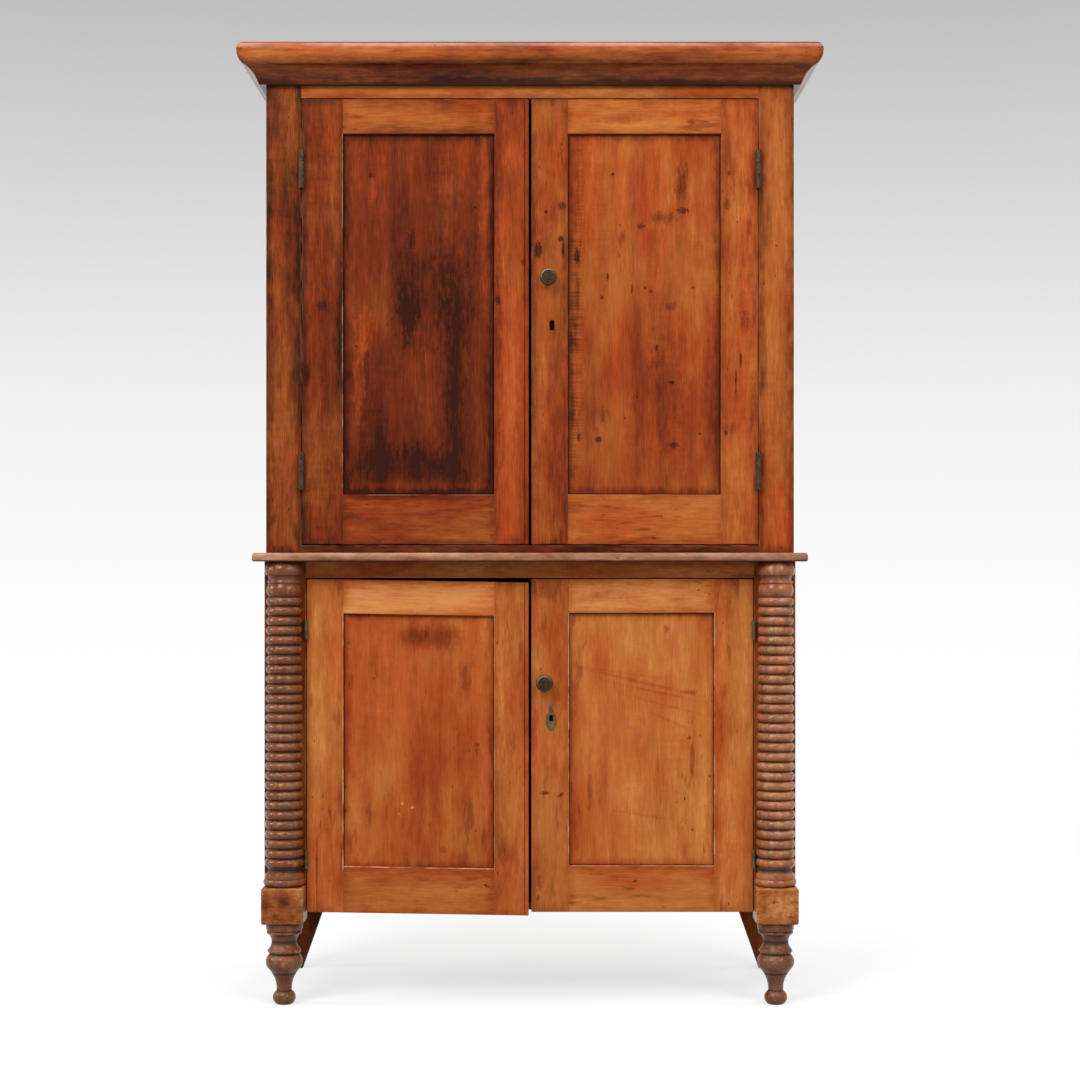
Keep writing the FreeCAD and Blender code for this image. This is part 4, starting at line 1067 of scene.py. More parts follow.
    def _bare_board(self, node: str, grain: Grain) -> None:
        """Dress boards of the inside, back or top; varnish is left on a front edge that shows."""
        shape = self.shop.copy_of(node)
        side_by_side = node.endswith("back_boards")
        slack = (self.anywhere if side_by_side else WELD, WELD, WELD)
        self.shop.ease(shape, self.ease, slack, worn=self.bare_wear)
        front = corners(shape.verts)[0].y
        shows = node == "upper_bottom_board"
        bare_faces(shape, lambda face: not (shows and face.calc_center_median().y < front + self.ease))
        self.shop.grain_of(shape, grain, self.tones.get(node, self.bare_tone))
        self._finish(node, shape, Slot.BARE)

    def _finish(self, node: str, shape: bmesh.types.BMesh, slot: Slot) -> None:
        """Make the piece that stands for a node."""
        woods = (self.shop.varnish, self.shop.bare)
        self.shop.piece(f"{node}_wood", shape, woods, "case", slot, (node,))


@dataclass
class Door:
    """One framed door, each of its boards with its own look."""

    shop: Workshop
    name: str
    hinge_stile: Tone
    meeting_stile: Tone
    top_rail: Tone
    bottom_rail: Tone
    panel: Tone
    rubbed: tuple[float, float, float, float] = (0.0, 0.0, 0.0, 0.0)
    panel_marks: tuple[Mark, ...] = ()
    frame_marks: tuple[Mark, ...] = ()
    chatter: tuple[Mark, ...] = ()
    dust: Colour = (0.54, 0.37, 0.21)
    sag: float = WELD
    ease: float = 0.0013
    panel_ease: float = 0.0019
    stile_wear: float = 0.12
    rail_wear: float = 0.25
    tongue: float = 0.009

    def build(self) -> None:
        """Dress the door's stiles, rails and panel."""
        self.varnish = WoodFinish(
            f"{self.name}_varnish", pale=self.dust, edge_grime=0.13, marks=self.frame_marks
        ).material()
        self.panel_varnish = WoodFinish(
            f"{self.name}_panel_varnish",
            fibre=0.28,
            streak=0.44,
            mottle=0.32,
            patch=0.42,
            seam=0.42,
            marks=self.panel_marks,
            chatter=self.chatter,
        ).material()
        field_low, field_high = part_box(f"{self.name}_panel")
        self.field = (field_low + Vector.Fill(3, self.tongue), field_high - Vector.Fill(3, self.tongue))
        for part, rubbed in zip(("hinge_stile", "meeting_stile"), self.rubbed[:2]):
            self._stile(part, getattr(self, part), rubbed)
        for part, rubbed in zip(("top_rail", "bottom_rail"), self.rubbed[2:]):
            self._rail(part, getattr(self, part), rubbed)
        self._panel()

    def _stile(self, part: str, tone: Tone, rubbed: float) -> None:
        """Dress a stile: its inner edge is rubbed where it meets the panel."""
        node = f"{self.name}_{part}"
        shape = self.shop.copy_of(node)
        for height in (self.field[0].z, self.field[1].z):
            split(shape, (0, 0, height), (0, 0, 1))
        low, high = corners(shape.verts)
        centre = (self.field[0].x + self.field[1].x) / 2
        inner = low.x if abs(low.x - centre) < abs(high.x - centre) else high.x

        def beside_panel(middle: Vector) -> bool:
            """Return whether an edge lies along the panel's field."""
            inside = self.field[0].z - WELD < middle.z < self.field[1].z + WELD
            return abs(middle.x - inner) < WELD and inside and middle.y < low.y + WELD

        def elsewhere(middle: Vector) -> bool:
            """Return whether an edge lies clear of the panel."""
            return abs(middle.x - inner) > self.panel_ease * 2

        slack = (WELD, WELD, self.sag)
        self.shop.ease(shape, self.panel_ease, slack, beside_panel, worn=rubbed)
        self.shop.ease(shape, self.ease, slack, elsewhere, worn=self.stile_wear)
        self._back_bare(shape)
        self.shop.grain_of(shape, Grain.UPRIGHT, tone)
        self._finish(node, shape, Slot.CASE, self.varnish)

    def _rail(self, part: str, tone: Tone, rubbed: float) -> None:
        """Dress a rail: its edge beside the panel is rubbed."""
        node = f"{self.name}_{part}"
        shape = self.shop.copy_of(node)
        centre = (self.field[0].z + self.field[1].z) / 2
        low, high = corners(shape.verts)
        inner = low.z if abs(low.z - centre) < abs(high.z - centre) else high.z
        slack = (WELD, WELD, self.sag)
        reach = self.sag + self.panel_ease

        def near_panel(middle: Vector) -> bool:
            """Return whether an edge lies along the panel's field."""
            return abs(middle.z - inner) < reach and middle.y < low.y + WELD

        def elsewhere(middle: Vector) -> bool:
            """Return whether an edge lies clear of the panel."""
            return abs(middle.z - inner) > reach

        self.shop.ease(shape, self.panel_ease, slack, near_panel, worn=rubbed)
        self.shop.ease(shape, self.ease, slack, elsewhere, worn=self.rail_wear)
        self._back_bare(shape)
        span = (Vector((self.field[0].x, low.y, low.z)), Vector((self.field[1].x, high.y, high.z)))
        self.shop.grain_of(shape, Grain.ACROSS, tone, span=span)
        self._finish(node, shape, Slot.CASE, self.varnish)

    def _panel(self) -> None:
        """Dress the panel."""
        node = f"{self.name}_panel"
        shape = self.shop.copy_of(node)
        self._back_bare(shape)
        self.shop.grain_of(shape, Grain.UPRIGHT, self.panel, inset=self.tongue)
        self._finish(node, shape, Slot.PANEL, self.panel_varnish)

    @staticmethod
    def _back_bare(shape: bmesh.types.BMesh) -> None:
        """Leave the door's back bare."""
        bare_faces(shape, lambda face: face.normal.y > FACING)

    def _finish(self, node: str, shape: bmesh.types.BMesh, slot: Slot, front: bpy.types.Material) -> None:
        """Make the piece that stands for a node."""
        self.shop.piece(f"{node}_wood", shape, (front, self.shop.bare), self.name, slot, (node,))


@dataclass
class TurnedFront:
    """The ring-turned columns and the front feet."""

    shop: Workshop
    axis_x: float = 0.538
    axis_y: float = -0.202
    face_y: float = -0.188
    base_z: float = 0.258
    column_height: float = 0.710
    column_radius: float = 0.043
    ring_depth: float = 0.006
    ring_count: int = 28
    first_ring: float = 0.0718
    ring_pitch: float = 0.0298
    ring_shift: float = 0.0006
    ring_wear: float = 0.012
    half_ring: float = 0.0136
    top_ring: float = 0.915
    neck_share: float = 0.9295
    neck_crest: float = 0.36
    foot_height: float = 0.179
    foot_radius: float = 0.046
    column_reach: float = 0.012
    foot_reach: float = 0.005
    block_ease: float = 0.0045
    block_slack: float = 0.04
    block_wear: float = 0.15
    block_figure: float = 9.0
    block_lift: float = 0.00002
    steps: int = 72
    arc_steps: int = 8
    block_tones: dict[str, Tone] = field(
        default_factory=lambda: {"left": Tone(0.56, 0.26), "right": Tone(0.78, 0.24, -0.1)}
    )
    base_shares: tuple = (
        (0.930, 0),
        (1.060, 0.0115, 0.985, 0.0240),
        (1.010, 0.0260),
        (0.985, 0.0380),
        (0.840, 0.0440, 0.800, 0.0530),
        (0.840, 0.0560),
    )
    top_shares: tuple = (
        (0.825, 0.8950),
        (0.905, 0.9120, 0.825, 0.9290),
        (0.810, 0.9310),
        (0.856, 0.9360, 0.810, 0.9410),
        (0.795, 0.9430),
        (0.805, 0.9500, 0.862, 0.9560),
        (0.925, 0.9575),
        (0.975, 0.9760, 0.690, 1),
        (0, 1),
    )
    foot_shares: tuple = (
        (0.360, 0),
        (0.545, 0.087, 0.360, 0.165),
        (0.360, 0.190),
        (0.445, 0.310, 0.735, 0.430),
        (0.880, 0.528, 0.695, 0.614),
        (0.740, 0.630),
        (0.790, 0.654, 0.740, 0.676),
        (0.598, 0.770, 0.775, 0.862),
        (0.833, 0.880, 0.775, 0.895),
        (0.840, 0.905),
        (0.875, 0.952, 0.848, 1),
        (0, 1),
    )

    def build(self) -> None:
        """Make both columns and both feet."""
        for side, sign in (("left", -1), ("right", 1)):
            self._column(side, sign)
            self._foot(side, sign)

    def _column_rows(self) -> list[tuple[float, ...]]:
        """Return the column's rows of shares with its slightly uneven rings."""
        rows = list(self.base_shares)
        depth = self.ring_depth / self.column_radius
        for ring in range(self.ring_count):
            shift = self.shop.rng.uniform(-self.ring_shift, self.ring_shift)
            middle = self.first_ring + ring * self.ring_pitch + shift
            taper = (1 - self.top_ring) * ring / (self.ring_count - 1)
            radius = 1 - taper - self.shop.rng.uniform(0, self.ring_wear)
            rows.append((radius - depth, middle - self.half_ring))
            rows.append((radius, middle, radius - depth, middle + self.half_ring))
        return rows + list(self.top_shares)

    def _column(self, side: str, sign: int) -> None:
        """Make one column: turned whole, then planed flat at the back."""
        node = f"{side}_column"
        profile = profile_of(self._column_rows(), self.column_radius, self.column_height, self.arc_steps)
        neck = self.neck_share * self.column_height
        crests = [
            max(crest, self.neck_crest) if height > neck else crest
            for crest, (_, height) in zip(self._crests(profile, self.column_reach), profile)
        ]
        shape = spun(profile, self.steps, crests)
        bmesh.ops.translate(shape, verts=shape.verts, vec=(sign * self.axis_x, self.axis_y, self.base_z))
        split(shape, (0, self.face_y, 0), (0, 1, 0), clear_outer=True)
        bmesh.ops.recalc_face_normals(shape, faces=shape.faces)
        self._dress(node, shape, self.shop.turned[side])

    def _dress(self, node: str, shape: bmesh.types.BMesh, finish: bpy.types.Material) -> None:
        """Dress a turned piece: its finish reads how far each point faces up."""
        shape.normal_update()
        layer = shape.verts.layers.float.new("up")
        for vertex in shape.verts:
            vertex[layer] = vertex.normal.z
        self.shop.grain_of(shape, Grain.UPRIGHT, Tone())
        self.shop.piece(f"{node}_turning", shape, (finish,), "case", Slot.TURNED, (node,), curved=True)

    @staticmethod
    def _crests(profile: Sequence[Point], reach: float) -> list[float]:
        """Return how proud each point of a profile is of its neighbours within reach, from 0 to 1."""
        crests = []
        for radius, height in profile:
            near = [other for other, level in profile if abs(level - height) < reach and other > 0]
            low, high = min(near), max(near)
            even = high - low < WELD * 10 or radius <= 0
            crests.append(0.5 if even else (radius - low) / (high - low))
        return crests

    def _foot(self, side: str, sign: int) -> None:
        """Make one front foot: a worn square block over a turned foot."""
        node = f"{side}_front_foot"
        profile = profile_of(self.foot_shares, self.foot_radius, self.foot_height, self.arc_steps)
        shape = spun(profile, self.steps, self._crests(profile, self.foot_reach))
        bmesh.ops.translate(shape, verts=shape.verts, vec=(sign * self.axis_x, self.axis_y, 0))
        self._dress(node, shape, self.shop.turned["foot"])
        block = self.shop.copy_of(node)
        split(block, (0, 0, self.foot_height + self.block_lift), (0, 0, 1), clear_inner=True)
        bmesh.ops.dissolve_limit(block, angle_limit=FLAT_ANGLE, verts=block.verts, edges=block.edges)
        bmesh.ops.recalc_face_normals(block, faces=block.faces)
        self.shop.ease(
            block,
            self.block_ease,
            (WELD, WELD, self.block_slack),
            lambda middle: middle.z < self.base_z + WELD,
            worn=self.block_wear,
            segments=4,
        )
        self.shop.grain_of(block, Grain.UPRIGHT, self.block_tones[side], short=self.block_figure)
        self.shop.piece(f"{node}_block", block, (self.shop.block_varnish,), "case", Slot.TURNED, (node,))


@dataclass
class Fittings:
    """Hinges, knobs, the keyhole plate, locks and turn buttons."""

    shop: Workshop
    knob_radius: float = 0.018
    knob_projection: float = 0.030
    rim_shares: tuple[float, float] = (0.78, 0.95)
    face_share: float = 0.88
    # The rim's paleness is partly a painted highlight: it leans towards the upper left and keeps the least
    # share at the bottom.
    highlight_lean: float = 0.35
    highlight_least: float = 0.12
    steps: int = 64
    arc_steps: int = 6
    button_tone: Tone = Tone(0.45, 0.2)
    knob_shares: tuple = (
        (0.560, 0),
        (0.560, 0.080),
        (0.360, 0.300, 0.520, 0.560),
        (0.960, 0.640),
        (1.000, 0.660),
        (1.030, 0.740, 1.000, 0.840),
        (0.950, 0.945, 0.840, 0.985),
        (0.790, 0.985),
        (0.760, 0.950),
        (0.400, 0.985, 0, 1),
    )

    def build(self) -> None:
        """Make and dress all fittings."""
        self.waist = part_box("waist_board")[0].z
        for level in ("upper", "lower"):
            self._knob(level)
            for part in ("lock_case", "lock_bolt"):
                self._metal(f"{level}_{part}", self.shop.iron, Slot.IRON)
            self._button(level)
            for side in ("left", "right"):
                self._metal(f"{level}_{side}_door_hinge_leaves", self.shop.iron, Slot.IRON)
        for node in ("hinge_frame_leaves", "hinge_pins"):
            self._metal(node, self.shop.iron, Slot.IRON)
        self._metal("lower_escutcheon", self.shop.brass, Slot.BRONZE)

    def _metal(self, node: str, material: bpy.types.Material, slot: Slot) -> None:
        """Dress a metal fitting as it is built; hinges below the waist are paler."""
        shape = self.shop.copy_of(node)
        materials = [material]
        if "hinge" in node:
            materials.append(self.shop.pale_iron)
            bare_faces(shape, lambda face: face.calc_center_median().z < self.waist)
        body = self.shop.body_of[node]
        self.shop.piece(f"{node}_metal", shape, materials, body, slot, (node,), curved=True)

    def _knob(self, level: str) -> None:
        """Make a turned knob, its rim painted paler: rubbed metal, and a painted highlight strongest at the
        upper left.
        """
        node = f"{level}_knob"
        low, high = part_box(node)
        middle = (low + high) / 2
        back = low.y + self.knob_projection
        profile = profile_of(self.knob_shares, self.knob_radius, self.knob_projection, self.arc_steps)
        inner, outer = (share * self.knob_radius for share in self.rim_shares)
        face = self.knob_projection * self.face_share
        rim = [float(inner < radius < outer and height > face) for radius, height in profile]
        shape = spun(profile, self.steps, rim)
        forward = Matrix.Rotation(math.pi / 2, 3, "X")
        bmesh.ops.rotate(shape, verts=shape.verts, cent=(0, 0, 0), matrix=forward)
        crest = shape.verts.layers.float["crest"]
        # Painted highlight: the rim is paler towards the upper left, where the light falls.
        for vertex in shape.verts:
            toward_light = (vertex.co.z - vertex.co.x * self.highlight_lean) / self.knob_radius
            vertex[crest] *= self.highlight_least + (1 - self.highlight_least) * max(toward_light, 0.0)
        bmesh.ops.translate(shape, verts=shape.verts, vec=(middle.x, back, middle.z))
        body = self.shop.body_of[node]
        self.shop.piece(f"{node}_bronze", shape, (self.shop.bronze,), body, Slot.BRONZE, (node,), curved=True)

    def _button(self, level: str) -> None:
        """Dress a turn button."""
        node = f"{level}_left_turn_button"
        shape = self.shop.copy_of(node)
        self.shop.grain_of(shape, Grain.UPRIGHT, self.button_tone)
        self.shop.piece(f"{node}_wood", shape, (self.shop.bare,), node, Slot.CASE, (node,), curved=True)


@dataclass
class Fasteners:
    """Screws of hinges and locks, pins of the keyhole plate and nails of the back boards."""

    shop: Workshop
    proud: float = 0.00006
    slot_width: float = 0.0007
    slot_share: float = 1.9
    slot_proud: float = 2.6
    head_share: float = 0.8
    head_steps: int = 20
    leaf_shares: tuple[float, ...] = (0.16, 0.50, 0.84)
    leaf_rows: Point = (0.006, 0.013)
    plate_depth: float = 0.012
    long_leaf: float = 0.06
    long_leaf_screw: float = 0.0026
    short_leaf_screw: float = 0.0019
    lock_screw: float = 0.0024
    lock_inset: float = 0.006
    pin_shares: Point = (0.07, 0.90)
    pin: Point = (0.0011, 0.0004)
    nail: Point = (0.0024, 0.0003)
    nail_inset: float = 0.028
    nail_shift: float = 0.006

    def build(self) -> None:
        """Drive every screw, pin and nail."""
        self.slot_dark = MetalFinish(
            "dark_slot", (0.006, 0.005, 0.004), (0.012, 0.010, 0.008), (0.010, 0.007, 0.005), 0.2, 0.8
        ).material()
        metal = (self.shop.iron, Slot.IRON)
        frame_screws = bmesh.new()
        self._leaf_screws(frame_screws, "hinge_frame_leaves", -1)
        self._done("frame_hinge_screws", frame_screws, "case", *metal)
        for level in ("upper", "lower"):
            for side in ("left", "right"):
                door = f"{level}_{side}_door"
                screws = bmesh.new()
                self._leaf_screws(screws, f"{door}_hinge_leaves", 1)
                if side == "right":
                    self._lock_screws(screws, f"{level}_lock_case")
                self._done(f"{door}_screws", screws, door, *metal)
            self._nails(level)
        pins = bmesh.new()
        low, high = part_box("lower_escutcheon")
        for share in self.pin_shares:
            spot = Vector(((low.x + high.x) / 2, low.y, low.z + share * (high.z - low.z)))
            self._head(pins, spot, Vector((0, -1, 0)), *self.pin)
        self._done("keyhole_plate_pins", pins, "lower_right_door", self.shop.bronze, Slot.BRONZE)

    def _leaf_screws(self, screws: bmesh.types.BMesh, node: str, facing: int) -> None:
        """Put three screws in each leaf, on the side that shows when the door is open."""
        leaves = self.shop.copy_of(node)
        for part in islands(leaves):
            spots = [vertex.co for vertex in part]
            depth = max(spot.y for spot in spots)
            plate = [spot for spot in spots if spot.y > depth - self.plate_depth]
            side = -1 if plate[0].x < 0 else 1
            normal = Vector((side * facing, 0, 0))
            face = max(spot.x * normal.x for spot in plate) * normal.x
            bottom, top = min(spot.z for spot in spots), max(spot.z for spot in spots)
            radius = self.long_leaf_screw if top - bottom > self.long_leaf else self.short_leaf_screw
            for index, share in enumerate(self.leaf_shares):
                inset = self.leaf_rows[index % 2]
                place = Vector((face, depth - inset, bottom + share * (top - bottom)))
                self._screw(screws, place, normal, radius)
        leaves.free()

    def _lock_screws(self, screws: bmesh.types.BMesh, node: str) -> None:
        """Put a screw in each corner of a lock's back."""
        low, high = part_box(node)
        for x in (low.x + self.lock_inset, high.x - self.lock_inset):
            for z in (low.z + self.lock_inset, high.z - self.lock_inset):
                self._screw(screws, Vector((x, high.y, z)), Vector((0, 1, 0)), self.lock_screw)

    def _nails(self, level: str) -> None:
        """Nail each back board at its ends and half way."""
        nails = bmesh.new()
        boards = self.shop.copy_of(f"{level}_back_boards")
        for part in islands(boards):
            low, high = corners(part)
            for x in (low.x + self.nail_inset, high.x - self.nail_inset):
                for z in (low.z + self.nail_inset / 2, (low.z + high.z) / 2, high.z - self.nail_inset / 2):
                    shift = self.shop.rng.uniform(-self.nail_shift, self.nail_shift)
                    self._head(nails, Vector((x + shift, high.y, z)), Vector((0, 1, 0)), *self.nail)
        boards.free()
        self._done(f"{level}_back_nails", nails, "case", self.shop.iron, Slot.IRON)

    def _screw(self, shape: bmesh.types.BMesh, place: Vector, normal: Vector, radius: float) -> None:
        """Add a flush screw head with a thin dark slot laid on it."""
        self._head(shape, place, normal, radius, self.proud)
        turn = Matrix.Rotation(self.shop.rng.uniform(0, math.pi), 4, "Z")
        size = Matrix.Diagonal((radius * self.slot_share, self.slot_width, self.proud * self.slot_proud, 1))
        made = bmesh.ops.create_cube(shape, size=1.0, matrix=self._stand(place, normal) @ turn @ size)
        for face in {face for vertex in made["verts"] for face in vertex.link_faces}:
            face.material_index = 1

    def _head(
        self, shape: bmesh.types.BMesh, place: Vector, normal: Vector, radius: float, proud: float
    ) -> None:
        """Add a low round head."""
        bmesh.ops.create_cone(
            shape,
            cap_ends=True,
            segments=self.head_steps,
            radius1=radius,
            radius2=radius * self.head_share,
            depth=proud * 2,
            matrix=self._stand(place, normal),
        )

    @staticmethod
    def _stand(place: Vector, normal: Vector) -> Matrix:
        """Return the matrix that stands a head on a face."""
        return Matrix.Translation(place) @ normal.to_track_quat("Z", "Y").to_matrix().to_4x4()

    def _done(
        self, name: str, shape: bmesh.types.BMesh, body: str, metal: bpy.types.Material, slot: Slot
    ) -> None:
        """Make the piece."""
        self.shop.piece(name, shape, (metal, self.slot_dark), body, slot)


@dataclass
class Studio:
    """The floor, the light, the pale surroundings and the camera."""

    floor_radius: float = 14.0
    floor_dull: Colour = (0.30, 0.30, 0.30)
    floor_pale: Colour = (0.90, 0.90, 0.90)
    floor_glow: float = 0.62
    floor_fade: Point = (0.8, 3.5)
    camera_place: Triple = (0.022, -5.188, 0.993)
    lens: float = 75.9
    sensor: float = 36.0
    shift_px: float = 10.0
    sky: tuple = ((0.475, 1.0), (0.50, 0.955), (0.533, 0.874), (0.576, 0.684), (0.6175, 0.515))
    lamps: tuple = (
        ("key", (-2.4, -4.0, 4.4), (0, 0, 0.9), 2.2, 190.0),
        ("fill", (2.9, -4.2, 3.5), (0, 0, 0.9), 2.4, 124.0),
        ("top", (0.0, -1.2, 4.8), (0, 0, 1.2), 2.6, 85.0),
        ("rear", (0.5, 4.0, 3.0), (0, 0, 1.0), 2.6, 90.0),
        ("left", (-4.2, -0.4, 2.2), (0, 0, 1.0), 1.2, 60.0),
        ("right", (4.2, 0.6, 2.6), (0, 0, 1.0), 2.4, 60.0),
    )
    ambient: float = 0.30

    def build(self) -> None:
        """Set up everything round the cupboard."""
        self._floor()
        self._world()
        for name, place, target, side, watts in self.lamps:
            self._lamp(name, Vector(place), Vector(target), side, watts)
        self._camera()
        bpy.context.scene.view_settings.view_transform = "Standard"

    def _floor(self) -> None:
        """Lay a pale floor that takes the cupboard's shadow."""
        shape = bmesh.new()
        bmesh.ops.create_circle(shape, cap_ends=True, segments=96, radius=self.floor_radius)
        mesh = bpy.data.meshes.new("floor")
        shape.to_mesh(mesh)
        shape.free()
        material, shader = new_shader("pale_floor")
        seen = self._seen(shader)
        colour = shader.blend(seen, self.floor_dull, self.floor_pale)
        matt = shader.make("ShaderNodeBsdfDiffuse", {}, {"Color": colour})
        glow = shader.make("ShaderNodeEmission", {}, {"Color": (1, 1, 1, 1), "Strength": 1.0})
        far = shader.length(shader.place()).rise(*self.floor_fade)
        pale = seen * (self.floor_glow + far * (1 - self.floor_glow))
        mixed = shader.make("ShaderNodeMixShader", {}, {0: pale, 1: matt, 2: glow})
        shader.make("ShaderNodeOutputMaterial", {}, {"Surface": mixed})
        mesh.materials.append(material)
        floor = bpy.data.objects.new("floor", mesh)
        bpy.context.scene.collection.objects.link(floor)

    @staticmethod
    def _seen(shader: Shader) -> Value:
        """Return 1 for rays that come from the eye, straight, mirrored or through glass."""
        kinds = ("Camera", "Glossy", "Transmission")
        straight, mirrored, through = (
            shader.make("ShaderNodeLightPath", {}, {}, f"Is {kind} Ray") for kind in kinds
        )
        return straight.most(mirrored).most(through)

    def _world(self) -> None:
        """Fade the surroundings from white to grey upwards, with plain even light from all sides."""
        world = bpy.data.worlds.new("surroundings")
        bpy.context.scene.world = world
        world.use_nodes = True
        shader = Shader(world.node_tree)
        up = shader.part(shader.make("ShaderNodeTexCoord", {}, {}, "Generated"), "Z")
        stops = [(place, (grey, grey, grey)) for place, grey in self.sky]
        shown = shader.make("ShaderNodeBackground", {}, {"Color": shader.ramp(up * 0.5 + 0.5, stops)})
        even = shader.make("ShaderNodeBackground", {}, {"Color": (1, 1, 1, 1), "Strength": self.ambient})
        mixed = shader.make("ShaderNodeMixShader", {}, {0: self._seen(shader), 1: even, 2: shown})
        shader.make("ShaderNodeOutputWorld", {}, {"Surface": mixed})

    @staticmethod
    def _lamp(name: str, place: Vector, target: Vector, side: float, watts: float) -> None:
        """Hang a soft square lamp."""
        lamp = bpy.data.lights.new(name, "AREA")
        lamp.size = side
        lamp.energy = watts
        item = bpy.data.objects.new(name, lamp)
        bpy.context.scene.collection.objects.link(item)
        item.location = place
        item.rotation_euler = (target - place).to_track_quat("-Z", "Y").to_euler()
        item.visible_glossy = place.y < 0

    def _camera(self) -> None:
        """Set the camera level, straight before the cupboard."""
        camera = bpy.data.cameras.new("camera")
        camera.lens = self.lens
        camera.sensor_fit = "HORIZONTAL"
        camera.sensor_width = self.sensor
        camera.shift_y = self.shift_px / IMAGE_SIDE
        item = bpy.data.objects.new("camera", camera)
        bpy.context.scene.collection.objects.link(item)
        item.location = self.camera_place
        item.rotation_euler = (math.pi / 2, 0, 0)
        bpy.context.scene.camera = item


